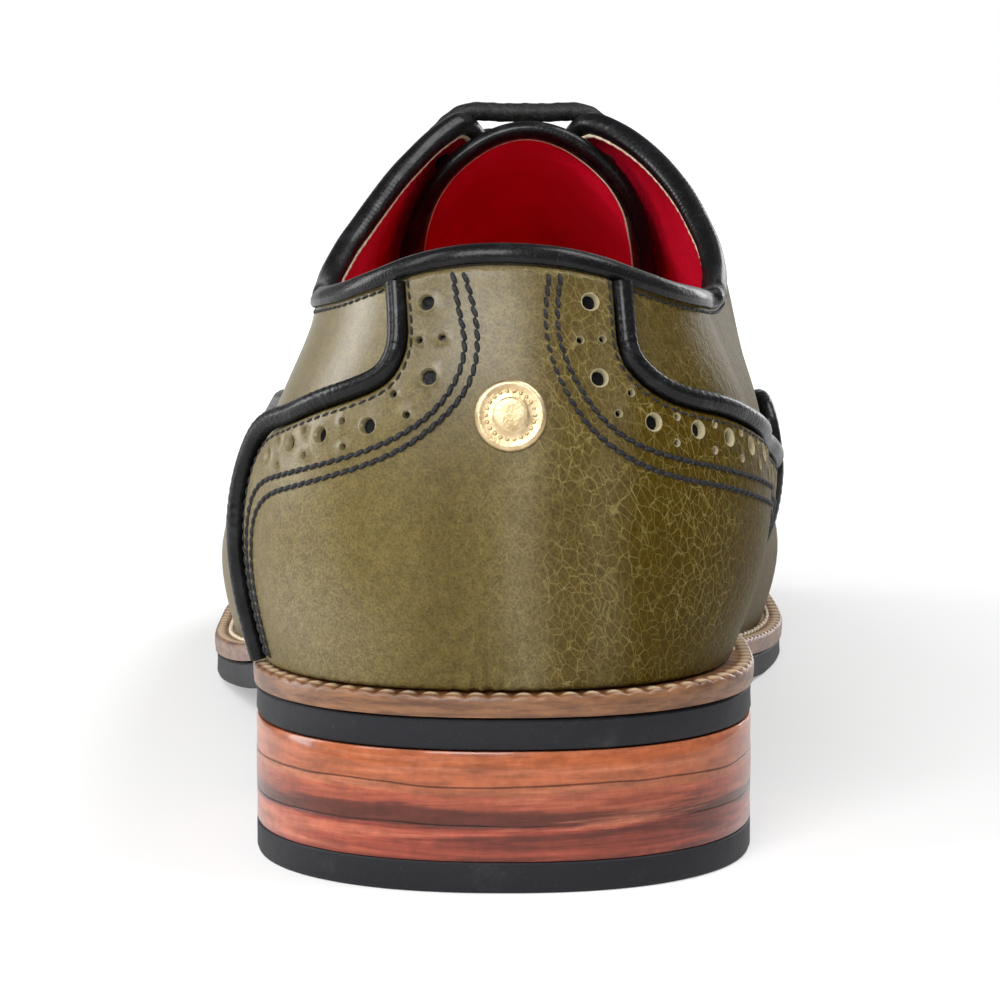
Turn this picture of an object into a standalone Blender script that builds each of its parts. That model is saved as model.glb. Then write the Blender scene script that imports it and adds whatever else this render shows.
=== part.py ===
"""Left brogue: a lasted leather shoe on a welted rubber sole with a stacked leather heel."""
import bpy
import bmesh
import numpy as np

MM = 0.001
MERGE = 0.00005
WELD = 0.05

# Sizes are in millimetres, in the frame of the last: y runs forward from the back of the sole.
HEEL_CENTRE = 38.0
TOE_CENTRE = 214.0
HEEL_ROUND = 2.25
TOE_ROUND = 2.0

SECTION_COLUMNS = (
    "along",
    "sole_out", "sole_in",
    "feather_out", "feather_in", "feather_z",
    "girth_out", "girth_in", "girth_z",
    "shoulder_out", "shoulder_in", "shoulder_z",
)
SECTIONS = (
    (38.0, 35.2, 35.2, 32.4, 30.4, 27.3, 35.8, 35.8, 45.0, 30.4, 32.8, 65.0),
    (62.0, 35.4, 34.4, 32.6, 29.8, 26.6, 38.0, 37.4, 43.0, 31.0, 35.8, 63.0),
    (90.0, 36.8, 32.0, 33.6, 28.4, 22.5, 40.2, 36.8, 38.0, 30.6, 35.2, 64.0),
    (118.0, 40.6, 31.0, 36.6, 28.4, 17.0, 42.8, 36.4, 33.0, 29.2, 32.8, 66.0),
    (146.0, 46.4, 34.4, 41.6, 31.0, 12.3, 46.0, 38.0, 28.0, 31.4, 32.6, 58.0),
    (172.0, 51.6, 41.0, 46.5, 36.6, 9.4, 49.3, 41.4, 24.3, 34.4, 33.6, 50.6),
    (194.0, 54.0, 46.4, 48.8, 41.4, 7.8, 51.0, 45.0, 22.2, 36.4, 35.0, 45.2),
    (214.0, 54.4, 49.0, 49.2, 43.8, 7.9, 51.2, 46.6, 21.2, 36.8, 35.6, 41.4),
)

# The round ends of each level: where it stops behind the heel and before the toe.
END_COLUMNS = ("heel_along", "heel_z", "toe_along", "toe_z")
ENDS = {
    "sole": (0.0, 27.3, 304.0, 17.5),
    "feather": (2.8, 27.3, 298.8, 17.2),
    "girth": (0.8, 46.0, 298.2, 26.5),
    "shoulder": (3.2, 67.0, 281.0, 38.5),
}

# The edge of the collar, then of the facings, then the crest of the vamp.
EDGE_COLUMNS = ("along", "crest", "half_gap", "z", "lean")
EDGE = (
    (7.6, 0.0, 0.0, 85.2, 80.0),
    (10.0, 1.1, 26.9, 83.6, 80.0),
    (14.0, 1.1, 26.9, 81.3, 79.5),
    (20.0, 1.1, 26.9, 79.3, 79.0),
    (28.0, 1.1, 26.9, 78.1, 78.5),
    (38.0, 1.1, 26.9, 77.2, 78.0),
    (50.0, 1.5, 28.1, 76.5, 76.0),
    (62.0, 1.8, 28.8, 76.2, 74.0),
    (70.0, 1.9, 29.4, 76.5, 72.0),
    (78.0, 2.2, 29.4, 78.1, 69.0),
    (85.0, 2.9, 28.3, 81.8, 65.0),
    (92.0, 3.5, 25.8, 86.3, 59.0),
    (98.0, 3.8, 23.1, 90.4, 53.0),
    (104.0, 3.8, 19.6, 94.5, 47.0),
    (111.0, 3.3, 14.3, 98.9, 38.0),
    (115.0, 2.6, 10.6, 100.6, 33.0),
    (120.0, 2.2, 8.2, 99.0, 30.0),
    (146.0, 2.2, 5.3, 86.8, 24.0),
    (166.0, 2.2, 3.0, 78.0, 10.0),
    (168.5, 2.2, 0.0, 77.0, 0.0),
    (190.0, 1.4, 0.0, 68.6, 0.0),
    (214.0, 0.0, 0.0, 59.5, 0.0),
)
EDGE_ROUND = 2.2
THROAT = 168.5

HEEL_STEPS = 8
TOE_STEPS = 10
TOE_NARROW = 0.56
SKIN_ALONG = (
    46, 54, 62, 70, 78, 86, 94, 101, 107, 111, 114, 117, 121, 128, 136, 146, 156, 163, 166, 168.5,
    175, 183, 190, 196, 201, 204, 206.5, 208, 214,
)
SKIN_SHARES = (0.0, 0.13, 0.27, 0.41, 0.55, 0.69, 0.83, 0.94, 1.0)
SOLE_ALONG = (
    46, 54, 62, 68, 76, 86, 96, 107, 118, 130, 142, 153, 164, 173, 180, 188, 196, 205, 214,
)

GAP = 0.3
SLACK = 0.1
EDGE_STEP = 0.4
WALL = 2.0
BINDING_SKIN = 0.7
BINDING_DEPTH = 1.7
BINDING_ROLL = 1.5
BINDING_ROUND = (0.9, 1.2)
BINDING_FRONT = 161.0
OVERLAY = 1.2
OVERLAY_FOOT = 1.8
PIPING = 1.1
PIPING_SIDES = 6

WELT = 3.2
WELT_BEVEL = 0.6
WELT_INSIDE = 4.8
OUTSOLE = 4.3
OUTSOLE_INSET = 0.3
OUTSOLE_BEVEL = 1.1
INSOLE = 2.0
INSOLE_GAP = 0.8

HEEL_BREAST = 68.0
HEEL_INSET = 0.3
TOP_LIFT = 4.2
TOP_LIFT_BEVEL = 0.6
STACK_LIFTS = 3

# Edge of the counter: how far around from the back, and how far up from the welt.
# Its lateral side turns down to the welt well behind the medial one, which ends at COUNTER_FRONT along.
COUNTER_FRONT = 75.0
COUNTER_TURN = (16.0, 9.0, 2.4)
TURN_ROOM = 0.35
COUNTER_STEP = 4.5
COUNTER_BACK_STEPS = 4
COUNTER_COLUMNS = ("around", "up")
COUNTER_OUT = (
    (15.6, 54.2), (14.3, 49.0), (14.0, 45.4), (15.6, 41.4), (20.4, 38.6), (27.2, 36.5), (36.0, 33.8),
    (40.6, 32.3), (43.8, 30.0), (45.7, 26.8), (46.5, 22.4),
)
COUNTER_IN = (
    (18.0, 54.2), (17.6, 48.6), (17.7, 44.4), (21.2, 39.8), (26.6, 37.2), (34.2, 35.6), (45.6, 32.7),
    (60.0, 29.6), (76.0, 27.2), (95.4, 25.6),
)

# Upper edge of the wing: its height above the floor from the tail to the crest.
WING_BACK = 78.0
WING_FRONT = 208.0
WING_COLUMNS = ("along", "z")
WING_EDGE = (
    (78.0, 48.0), (80.5, 55.5), (84.0, 57.0), (94.0, 55.3), (114.0, 49.0), (138.0, 41.6), (160.0, 38.8),
    (178.0, 41.4), (190.0, 48.4), (198.0, 56.0), (208.0, 61.8),
)
WING_TAIL = (1.8, 8.0, 15.0, 22.0)
WING_ALONG = (
    78, 79, 80.5, 83, 87, 94, 101, 110, 121, 133, 146, 157, 168.5, 178, 185, 190, 194, 198, 201, 203.5,
    205.5, 207, 207.7, 208, 214,
)
CREST_SHARE = 0.97

TONGUE = 2.4
TONGUE_GAP = 1.2
TONGUE_COLUMNS = ("along", "half_width")
TONGUE_ROWS = (
    (113.0, 17.0), (114.0, 20.0), (116.0, 22.0), (121.0, 22.5), (130.0, 22.0), (142.0, 20.5), (155.0, 18.5),
    (168.0, 16.0), (176.0, 14.0),
)
TONGUE_ACROSS = 11
TONGUE_SHARES = (0.45, 0.55, 0.65, 0.75, 0.85, 0.93, 1.0)
TONGUE_CLOSE = 0.5

LACE = 1.45
LACE_SIDES = 6
LACE_BARS = (118.5, 129.0, 139.5, 150.0, 160.5)
LACE_REACH = 7.5
LACE_BEND = 4.8
LACE_RISE = (0.2, 0.6, 0.1)

STUD_AROUND = 0.8
STUD_UP = 36.7
STUD_SIDES = 16
STUD_COLUMNS = ("radius", "rise")
STUD_TURN = ((4.75, 0.0), (4.75, 0.5), (4.2, 0.95), (2.4, 1.05), (2.1, 1.35), (1.0, 1.45))

# Fine steps for slopes and lengths on the skin.
SHARE_LIMIT = 0.994
PLACE_STEP = 0.004
RISE_STEP = 0.15
AROUND_END = 1.4
AROUND_STEPS = 280
RIB_STEPS = 120

OLIVE = (0.17, 0.14, 0.055, 1.0)
BLACK = (0.012, 0.012, 0.014, 1.0)
RUBBER = (0.016, 0.017, 0.02, 1.0)
WELT_BROWN = (0.22, 0.11, 0.05, 1.0)
STACK_BROWN = (0.28, 0.075, 0.03, 1.0)
INSOLE_RED = (0.25, 0.008, 0.014, 1.0)
BRASS = (0.78, 0.53, 0.24, 1.0)


def cubic(xs, ys, x, start=None, end=None):
    """Smooth curve through the rows, with its slope set at an end where it is given."""
    xs = np.asarray(xs, float)
    ys = np.asarray(ys, float)
    count = len(xs)
    step = np.diff(xs)
    rise = np.diff(ys) / step
    system = np.zeros((count, count))
    target = np.zeros(count)
    for i in range(1, count - 1):
        system[i, i - 1:i + 2] = (step[i - 1], 2 * (step[i - 1] + step[i]), step[i])
        target[i] = 6 * (rise[i] - rise[i - 1])
    system[0, 0] = 1.0
    system[-1, -1] = 1.0
    if start is not None:
        system[0, :2] = (2 * step[0], step[0])
        target[0] = 6 * (rise[0] - start)
    if end is not None:
        system[-1, -2:] = (step[-1], 2 * step[-1])
        target[-1] = 6 * (end - rise[-1])
    bend = np.linalg.solve(system, target)
    x = np.asarray(x, float)
    i = np.clip(np.searchsorted(xs, x) - 1, 0, count - 2)
    left = x - xs[i]
    right = xs[i + 1] - x
    wide = step[i]
    curve = (bend[i] * right ** 3 + bend[i + 1] * left ** 3) / (6 * wide)
    curve += (ys[i] / wide - bend[i] * wide / 6) * right
    return curve + (ys[i + 1] / wide - bend[i + 1] * wide / 6) * left


def steady(xs, ys, x):
    """Curve through the rows that never swings past them."""
    xs = np.asarray(xs, float)
    ys = np.asarray(ys, float)
    step = np.diff(xs)
    rise = np.diff(ys) / step
    slope = np.zeros(len(xs))
    slope[0] = rise[0]
    slope[-1] = rise[-1]
    for i in range(1, len(xs) - 1):
        if rise[i - 1] * rise[i] > 0:
            near = 2 * step[i] + step[i - 1]
            far = step[i] + 2 * step[i - 1]
            slope[i] = (near + far) / (near / rise[i - 1] + far / rise[i])
    x = np.clip(np.asarray(x, float), xs[0], xs[-1])
    i = np.clip(np.searchsorted(xs, x) - 1, 0, len(xs) - 2)
    t = (x - xs[i]) / step[i]
    ends = (2 * t ** 3 - 3 * t ** 2 + 1) * ys[i] + (3 * t ** 2 - 2 * t ** 3) * ys[i + 1]
    return ends + step[i] * ((t ** 3 - 2 * t ** 2 + t) * slope[i] + (t ** 3 - t ** 2) * slope[i + 1])


def column(rows, columns, name):
    place = columns.index(name)
    return np.array([row[place] for row in rows])


SECTION_ALONG = column(SECTIONS, SECTION_COLUMNS, "along")
EDGE_ALONG = column(EDGE, EDGE_COLUMNS, "along")
SIDES = {"out": -1.0, "in": 1.0}


def end_size(level, name):
    return ENDS[level][END_COLUMNS.index(name)]


def half_width(level, side, along):
    if level == "edge":
        half = steady(EDGE_ALONG[1:], column(EDGE, EDGE_COLUMNS, "half_gap")[1:], along)
        return half + SIDES[side] * steady(EDGE_ALONG[1:], column(EDGE, EDGE_COLUMNS, "crest")[1:], along)
    return cubic(SECTION_ALONG, column(SECTIONS, SECTION_COLUMNS, level + "_" + side), along, 0.0, 0.0)


def height(level, along):
    if level == "edge":
        return steady(EDGE_ALONG, column(EDGE, EDGE_COLUMNS, "z"), along)
    xs = np.concatenate([[end_size(level, "heel_along")], SECTION_ALONG, [end_size(level, "toe_along")]])
    middle = column(SECTIONS, SECTION_COLUMNS, level + "_z")
    zs = np.concatenate([[end_size(level, "heel_z")], middle, [end_size(level, "toe_z")]])
    return cubic(xs, zs, along)


def round_end(wide, deep, turn, power):
    return 1.0 / ((abs(np.sin(turn)) / wide) ** power + (abs(np.cos(turn)) / deep) ** power) ** (1.0 / power)


def plan(level, side, place, inset=0.0):
    """Centre, outward direction and reach of a level in plan; places 0 to 1 turn round the heel,
    1 to 2 run along the shoe and 2 to 3 turn round the toe."""
    sign = SIDES[side]
    if place < 1.0:
        turn = place * np.pi / 2
        centre = np.array([0.0, HEEL_CENTRE])
        outward = np.array([sign * np.sin(turn), -np.cos(turn)])
        if level == "edge":
            deep = HEEL_CENTRE - EDGE_ALONG[0]
            power = EDGE_ROUND
        else:
            deep = HEEL_CENTRE - end_size(level, "heel_along")
            power = HEEL_ROUND
        wide = half_width(level, side, HEEL_CENTRE)
        return centre, outward, round_end(wide - inset, deep - inset, turn, power)
    if place <= 2.0:
        along = HEEL_CENTRE + (place - 1.0) * (TOE_CENTRE - HEEL_CENTRE)
        return np.array([0.0, along]), np.array([sign, 0.0]), half_width(level, side, along) - inset
    turn = (3.0 - place) * np.pi / 2
    centre = np.array([0.0, TOE_CENTRE])
    outward = np.array([sign * np.sin(turn), np.cos(turn)])
    if level == "edge":
        return centre, outward, 0.0
    wide = half_width(level, side, TOE_CENTRE)
    deep = end_size(level, "toe_along") - TOE_CENTRE
    return centre, outward, round_end(wide - inset, deep - inset, turn, TOE_ROUND)


def outline(level, side, place, inset=0.0):
    centre, outward, reach = plan(level, side, place, inset)
    return centre + outward * reach


def place_of(along):
    return 1.0 + (along - HEEL_CENTRE) / (TOE_CENTRE - HEEL_CENTRE)


CREST_SLOPE = float(height("edge", TOE_CENTRE) - height("edge", TOE_CENTRE - 1.0))


class Rib:
    """One section of the upper, from the feather line up to its top edge."""

    def __init__(self, side, place):
        reaches = []
        heights = []
        for level in ("feather", "girth", "shoulder", "edge"):
            centre, outward, reach = plan(level, side, place)
            reaches.append(float(reach))
            heights.append(float(height(level, (centre + outward * reach)[1])))
        self.centre = centre
        self.outward = outward
        edge_along = (centre + outward * reach)[1]
        lean = np.radians(float(steady(EDGE_ALONG, column(EDGE, EDGE_COLUMNS, "lean"), edge_along)))
        self.top = np.array([-np.cos(lean), np.sin(lean)])
        if place > 2.0:
            self.top = np.array([-1.0, -CREST_SLOPE * outward[1]])
            self.top /= np.linalg.norm(self.top)
        chords = np.hypot(np.diff(reaches), np.diff(heights))
        self.steps = np.concatenate([[0.0], np.cumsum(chords)])
        self.reaches = reaches
        self.heights = heights
        self.length = self.steps[-1]

    def at(self, up):
        reach = float(cubic(self.steps, self.reaches, up, None, self.top[0]))
        rise = float(cubic(self.steps, self.heights, up, None, self.top[1]))
        flat = self.centre + self.outward * reach
        return np.array([flat[0], flat[1], rise])


def skin(side, place, share, lift=0.0):
    """A point of the upper's outside, raised off it by lift, and the outward direction there."""
    rib = Rib(side, place)
    point = rib.at(share * rib.length)
    near = min(share, SHARE_LIMIT)
    before = Rib(side, max(place - PLACE_STEP, 0.0))
    after = Rib(side, min(place + PLACE_STEP, 3.0))
    forward = after.at(near * after.length) - before.at(near * before.length)
    rise = rib.at(near * rib.length + RISE_STEP) - rib.at(near * rib.length - RISE_STEP)
    normal = np.cross(forward, rise) * SIDES[side]
    normal /= np.linalg.norm(normal)
    if place in (0.0, 3.0):
        normal[0] = 0.0
        normal /= np.linalg.norm(normal)
    along = point[1]
    if share == 1.0 and place >= place_of(THROAT):
        normal = np.array([0.0, -float(height("edge", along) - height("edge", along - 1.0)), 1.0])
        normal /= np.linalg.norm(normal)
    return point + normal * lift, normal


def around_table(side):
    places = np.linspace(0.0, AROUND_END, AROUND_STEPS + 1)
    points = np.array([outline("girth", side, place) for place in places])
    steps = np.hypot(*np.diff(points, axis=0).T)
    return places, np.concatenate([[0.0], np.cumsum(steps)])


AROUND = {side: around_table(side) for side in SIDES}


def place_around(side, around):
    places, lengths = AROUND[side]
    return float(np.interp(around, lengths, places))


def around_of(side, along):
    places, lengths = AROUND[side]
    return float(np.interp(place_of(along), places, lengths))


def toe_places():
    """Steps round the toe, closer together at its tip."""
    swings = (1.0 - np.arange(1, TOE_STEPS + 1) / TOE_STEPS) * np.pi / 2
    turns = np.arctan2(TOE_NARROW * np.sin(swings), np.cos(swings))
    return [3.0 - 2.0 * float(turn) / np.pi for turn in turns[:-1]] + [3.0]


def fan_places(alongs):
    heel = [step / HEEL_STEPS for step in range(HEEL_STEPS + 1)]
    body = [place_of(along) for along in alongs]
    return heel + body + toe_places()


def material(name, colour, roughness, metallic=0.0):
    made = bpy.data.materials.new(name)
    made.use_nodes = True
    shader = made.node_tree.nodes["Principled BSDF"]
    shader.inputs["Base Color"].default_value = colour
    shader.inputs["Roughness"].default_value = roughness
    shader.inputs["Metallic"].default_value = metallic
    return made


def add_piece(name, points, faces, surface):
    """One object of the shoe from points in millimetres."""
    mesh = bpy.data.meshes.new(name)
    mesh.from_pydata([tuple(np.asarray(point) * MM) for point in points], [], faces)
    build = bmesh.new()
    build.from_mesh(mesh)
    bmesh.ops.remove_doubles(build, verts=build.verts, dist=MERGE)
    bmesh.ops.recalc_face_normals(build, faces=build.faces)
    build.to_mesh(mesh)
    build.free()
    mesh.materials.append(surface)
    piece = bpy.data.objects.new(name, mesh)
    shoe.objects.link(piece)
    piece.parent = stand
    return piece


def wrap_faces(columns, rows, base, flip):
    """Triangles between neighbouring columns of points."""
    faces = []
    for i in range(columns - 1):
        for j in range(rows - 1):
            corner = base + i * rows + j
            for face in (
                (corner, corner + rows, corner + rows + 1),
                (corner, corner + rows + 1, corner + 1),
            ):
                faces.append(face[::-1] if flip else face)
    return faces


def add_shell(name, grids, surface):
    """A hollow wall from grids of outside and inside points, one grid a side, welded where they meet."""
    outside = []
    inside = []
    places = {}
    faces = []
    for side, grid in grids:
        rows = len(grid[0])
        numbers = []
        for line in grid:
            for outer, inner in line:
                key = tuple(np.round(outer / WELD).astype(int))
                if key not in places:
                    places[key] = len(outside)
                    outside.append(outer)
                    inside.append(inner)
                numbers.append(places[key])
        for face in wrap_faces(len(grid), rows, 0, side == "out"):
            corners = tuple(dict.fromkeys(numbers[corner] for corner in face))
            if len(corners) == len(face):
                faces.append(corners)
    count = len(outside)
    edges = {(a, b) for face in faces for a, b in zip(face, face[1:] + face[:1])}
    rim = [(b, a, a + count, b + count) for a, b in edges if (b, a) not in edges]
    back = [tuple(corner + count for corner in face[::-1]) for face in faces]
    return add_piece(name, outside + inside, faces + back + rim, surface)


def add_sweep(name, rings, closed, surface):
    """A bar with one ring of points for each place on its path."""
    points = [point for ring in rings for point in ring]
    size = len(rings[0])
    faces = []
    spans = len(rings) if closed else len(rings) - 1
    for i in range(spans):
        here = i * size
        there = (i + 1) % len(rings) * size
        for j in range(size):
            k = (j + 1) % size
            faces.append((here + j, here + k, there + k, there + j))
    if not closed:
        faces.append(tuple(range(size))[::-1])
        faces.append(tuple((len(rings) - 1) * size + j for j in range(size)))
    return add_piece(name, points, faces, surface)


def add_layer(name, places, chain, surface, front_face):
    """A flat layer of the sole; the chain lists level, inset and height from its underside to its top."""
    rings = []
    for place in places:
        ring = []
        for side, order in (("out", chain), ("in", chain[::-1])):
            for level, inset, rise in order:
                flat = outline(level, side, place, inset)
                ring.append((flat[0], flat[1], rise(flat[1])))
        rings.append(ring)
    size = len(rings[0])
    faces = []
    for i in range(len(rings) - 1):
        for j in range(size):
            k = (j + 1) % size
            faces.append((i * size + j, i * size + k, (i + 1) * size + k, (i + 1) * size + j))
    if front_face:
        faces.append(tuple((len(rings) - 1) * size + j for j in range(size)))
    return add_piece(name, [point for ring in rings for point in ring], faces, surface)


def tube_rings(path, normals, radius, sides):
    """Rings of points round a path that lies on the shoe."""
    path = np.array(path)
    tangents = np.gradient(path, axis=0)
    rings = []
    for centre, tangent, normal in zip(path, tangents, normals):
        tangent = tangent / np.linalg.norm(tangent)
        across = np.cross(tangent, normal)
        across /= np.linalg.norm(across)
        upward = np.cross(across, tangent)
        turns = (np.arange(sides) + 0.5) * 2 * np.pi / sides
        rings.append([centre + radius * (np.cos(turn) * across + np.sin(turn) * upward) for turn in turns])
    return rings


def offset_line(line, distance):
    """A flat line moved sideways, to its left for a positive distance."""
    line = np.array(line, float)
    run = np.gradient(line, axis=0)
    run /= np.linalg.norm(run, axis=1)[:, None]
    return line + distance * np.stack([-run[:, 1], run[:, 0]], axis=1)


def refine(line, step):
    line = np.array(line, float)
    lengths = np.concatenate([[0.0], np.cumsum(np.hypot(*np.diff(line, axis=0).T))])
    marks = np.linspace(0.0, lengths[-1], int(lengths[-1] / step) + 2)
    return np.stack([cubic(lengths, line[:, 0], marks), cubic(lengths, line[:, 1], marks)], axis=1)


def feather(along):
    return float(height("feather", along))


def welt_top(along):
    return feather(along) - GAP


def welt_foot(along):
    return welt_top(along) - WELT


def outsole_top(along):
    return welt_foot(along) - GAP


def outsole_foot(along):
    return max(outsole_top(along) - OUTSOLE, 0.0)


def make_upper():
    grids = []
    for side in SIDES:
        grid = []
        for place in fan_places(SKIN_ALONG):
            grid.append([
                (skin(side, place, share)[0], skin(side, place, share, -WALL)[0]) for share in SKIN_SHARES
            ])
        grids.append((side, grid))
    add_shell("upper", grids, leather)


def overlay_line(side, place, top):
    """One column of an overlay: it follows the upper's own rows up to its edge."""
    foot = OVERLAY_FOOT / Rib(side, place).length
    shares = [min(max(share, foot), top) for share in SKIN_SHARES]
    shares[-1] = top
    return [
        (skin(side, place, share, GAP + OVERLAY)[0], skin(side, place, share, GAP)[0]) for share in shares
    ]


def counter_line(side):
    rows = COUNTER_OUT if side == "out" else COUNTER_IN
    line = np.stack([column(rows, COUNTER_COLUMNS, name) for name in COUNTER_COLUMNS], axis=1)
    return refine(line, COUNTER_STEP)


def counter_front(side):
    return COUNTER_OUT[-1][0] if side == "out" else around_of(side, COUNTER_FRONT)


def make_counter():
    grids = []
    for side in SIDES:
        line = counter_line(side)
        line = line[int(line[:, 0].argmin()):]
        line = line[line[:, 0] < counter_front(side) - SLACK]
        flank = line[0, 0] - EDGE_STEP
        back = np.linspace(0.0, flank, COUNTER_BACK_STEPS)
        arounds = np.concatenate([back, line[:, 0], [counter_front(side)]])
        tops = np.concatenate([np.full(COUNTER_BACK_STEPS, COUNTER_OUT[0][1]), line[:, 1], [line[-1, 1]]])
        grid = []
        for around, top in zip(arounds, tops):
            place = place_around(side, around)
            length = Rib(side, place).length
            grid.append(overlay_line(side, place, min(top, length - BINDING_DEPTH - 2 * GAP) / length))
        grids.append((side, grid))
    add_shell("counter", grids, leather_counter)


def make_counter_piping():
    for side, name in (("out", "counter_piping_lateral"), ("in", "counter_piping_medial")):
        line = counter_line(side)
        beside = PIPING + GAP + SLACK
        if side == "out":
            line = np.concatenate([line, [(COUNTER_OUT[-1][0], up) for up in COUNTER_TURN]])
            beside += TURN_ROOM
        line = offset_line(line, beside)
        stop = around_of(side, WING_BACK) - 3 * PIPING - 3 * GAP
        line = line[line[:, 0] < stop]
        path = []
        normals = []
        for around, up in line:
            place = place_around(side, around)
            point, normal = skin(side, place, up / Rib(side, place).length, GAP + SLACK + PIPING)
            path.append(point)
            normals.append(normal)
        add_sweep(name, tube_rings(path, normals, PIPING, PIPING_SIDES), False, piping)


def wing_share(side, along):
    """Share of the rib at which the wing's edge crosses it."""
    if along >= WING_FRONT:
        return 1.0
    alongs, levels = (column(WING_EDGE, WING_COLUMNS, name) for name in WING_COLUMNS)
    level = float(steady(alongs, levels, along))
    rib = Rib(side, place_of(along))
    shares = np.linspace(0.0, 1.0, RIB_STEPS + 1)
    return float(np.interp(level, [rib.at(share * rib.length)[2] for share in shares], shares))


def make_wing():
    grids = []
    for side in SIDES:
        grid = [overlay_line(side, place_of(along), wing_share(side, along)) for along in WING_ALONG]
        grid.extend(overlay_line(side, place, 1.0) for place in toe_places())
        grids.append((side, grid))
    add_shell("wing", grids, leather_wing)


def wing_line(side):
    """Path of the piping from the welt up the tail and along the wing, in along and up."""
    points = [(WING_BACK, up) for up in WING_TAIL]
    for along in WING_ALONG:
        if along <= WING_FRONT:
            points.append((along, wing_share(side, along) * Rib(side, place_of(along)).length))
    return offset_line(points, PIPING + GAP + SLACK)


def make_wing_piping():
    path = []
    normals = []
    for side in SIDES:
        half = []
        for along, up in wing_line(side):
            place = place_of(along)
            share = up / Rib(side, place).length
            if share < CREST_SHARE:
                half.append(skin(side, place, share, GAP + SLACK + PIPING))
        if side == "in":
            crest = skin(side, place_of(WING_FRONT - PIPING - GAP - SLACK), 1.0, GAP + SLACK + PIPING)
            half = [crest] + half[::-1]
        path.extend(point for point, normal in half)
        normals.extend(normal for point, normal in half)
    add_sweep("wing_piping", tube_rings(path, normals, PIPING, PIPING_SIDES), False, piping)


def make_binding():
    places = [place for place in fan_places(SKIN_ALONG) if place <= place_of(BINDING_FRONT)]
    stops = []
    for side in SIDES:
        half = [(side, place) for place in places]
        stops.extend(half[::-1] if side == "out" else half[1:])
    path = np.array([skin(side, place, 1.0)[0] for side, place in stops])
    tangents = np.gradient(path, axis=0)
    inner = -WALL - GAP
    outer = GAP
    rings = []
    for (side, place), point, tangent in zip(stops, path, tangents):
        rib = Rib(side, place)
        normal = skin(side, place, 1.0)[1]
        rise = point - rib.at(rib.length - 2 * RISE_STEP)
        rise /= np.linalg.norm(rise)
        tangent = tangent / np.linalg.norm(tangent)
        upward = rise - tangent * np.dot(rise, tangent)
        lean = np.linalg.norm(upward)
        upward /= lean
        low = 1.0 - BINDING_DEPTH / lean / rib.length
        ring = [skin(side, place, low, outer + BINDING_SKIN)[0]]
        inward, down = BINDING_ROUND
        for out, up in (
            (outer + BINDING_SKIN, BINDING_ROLL - down), (outer + BINDING_SKIN - inward, BINDING_ROLL),
            (inner - BINDING_SKIN + inward, BINDING_ROLL), (inner - BINDING_SKIN, BINDING_ROLL - down),
        ):
            ring.append(point + normal * out + upward * up)
        ring.append(skin(side, place, low, inner - BINDING_SKIN)[0])
        ring.append(skin(side, place, low, inner)[0])
        ring.append(point + normal * inner + upward * (GAP + SLACK))
        ring.append(point + normal * outer + upward * (GAP + SLACK))
        ring.append(skin(side, place, low, outer)[0])
        rings.append(ring)
    add_sweep("collar_binding", rings, False, binding)


def tongue_height(along):
    """Heights of the upper's outside across the throat, closed over the gap, as two rows x and z."""
    place = place_of(along)
    xs = []
    zs = []
    for side in SIDES:
        rib = Rib(side, place)
        for share in TONGUE_SHARES:
            point = rib.at(share * rib.length)
            xs.append(point[0])
            zs.append(point[2])
    order = np.argsort(xs)
    return np.array(xs)[order], np.array(zs)[order]


def make_tongue():
    top = []
    for along, half in zip(*(column(TONGUE_ROWS, TONGUE_COLUMNS, name) for name in TONGUE_COLUMNS)):
        xs, zs = tongue_height(along)
        keep = np.concatenate([[True], np.diff(xs) > TONGUE_CLOSE])
        crest = 0.5 * float(half_width("edge", "in", along) - half_width("edge", "out", along))
        line = crest + half * np.linspace(-1.0, 1.0, TONGUE_ACROSS)
        rise = cubic(xs[keep], zs[keep], line)
        slope = np.gradient(rise, line)
        size = np.sqrt(1.0 + slope ** 2)
        drop = WALL + GAP + TONGUE_GAP
        top.append([(x + drop * s / n, along, z - drop / n) for x, z, s, n in zip(line, rise, slope, size)])
    rows = len(top[0])
    points = [np.array(point) for line in top for point in line]
    mesh = bpy.data.meshes.new("tongue")
    mesh.from_pydata([tuple(point * MM) for point in points], [], wrap_faces(len(top), rows, 0, True))
    mesh.materials.append(tongue_leather)
    piece = bpy.data.objects.new("tongue", mesh)
    shoe.objects.link(piece)
    piece.parent = stand
    wall = piece.modifiers.new("wall", "SOLIDIFY")
    wall.thickness = TONGUE * MM
    wall.offset = -1.0
    wall.use_even_offset = True


def make_lace():
    lift = GAP + LACE
    over = GAP + BINDING_SKIN + lift
    hidden, bent, clear = LACE_RISE
    for number, along in enumerate(LACE_BARS, 1):
        place = place_of(along)
        path = []
        normals = []
        for side in SIDES:
            length = Rib(side, place).length
            half = [
                skin(side, place, 1.0 - LACE_REACH / length, lift + hidden),
                skin(side, place, 1.0 - LACE_BEND / length, lift + bent),
                skin(side, place, 1.0 - BINDING_DEPTH / length, over + clear),
                skin(side, place, 1.0, over + clear),
            ]
            half = half if side == "out" else half[::-1]
            path.extend(point for point, normal in half)
            normals.extend(normal for point, normal in half)
        add_sweep("lace_bar_%d" % number, tube_rings(path, normals, LACE, LACE_SIDES), False, lace)


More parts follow.
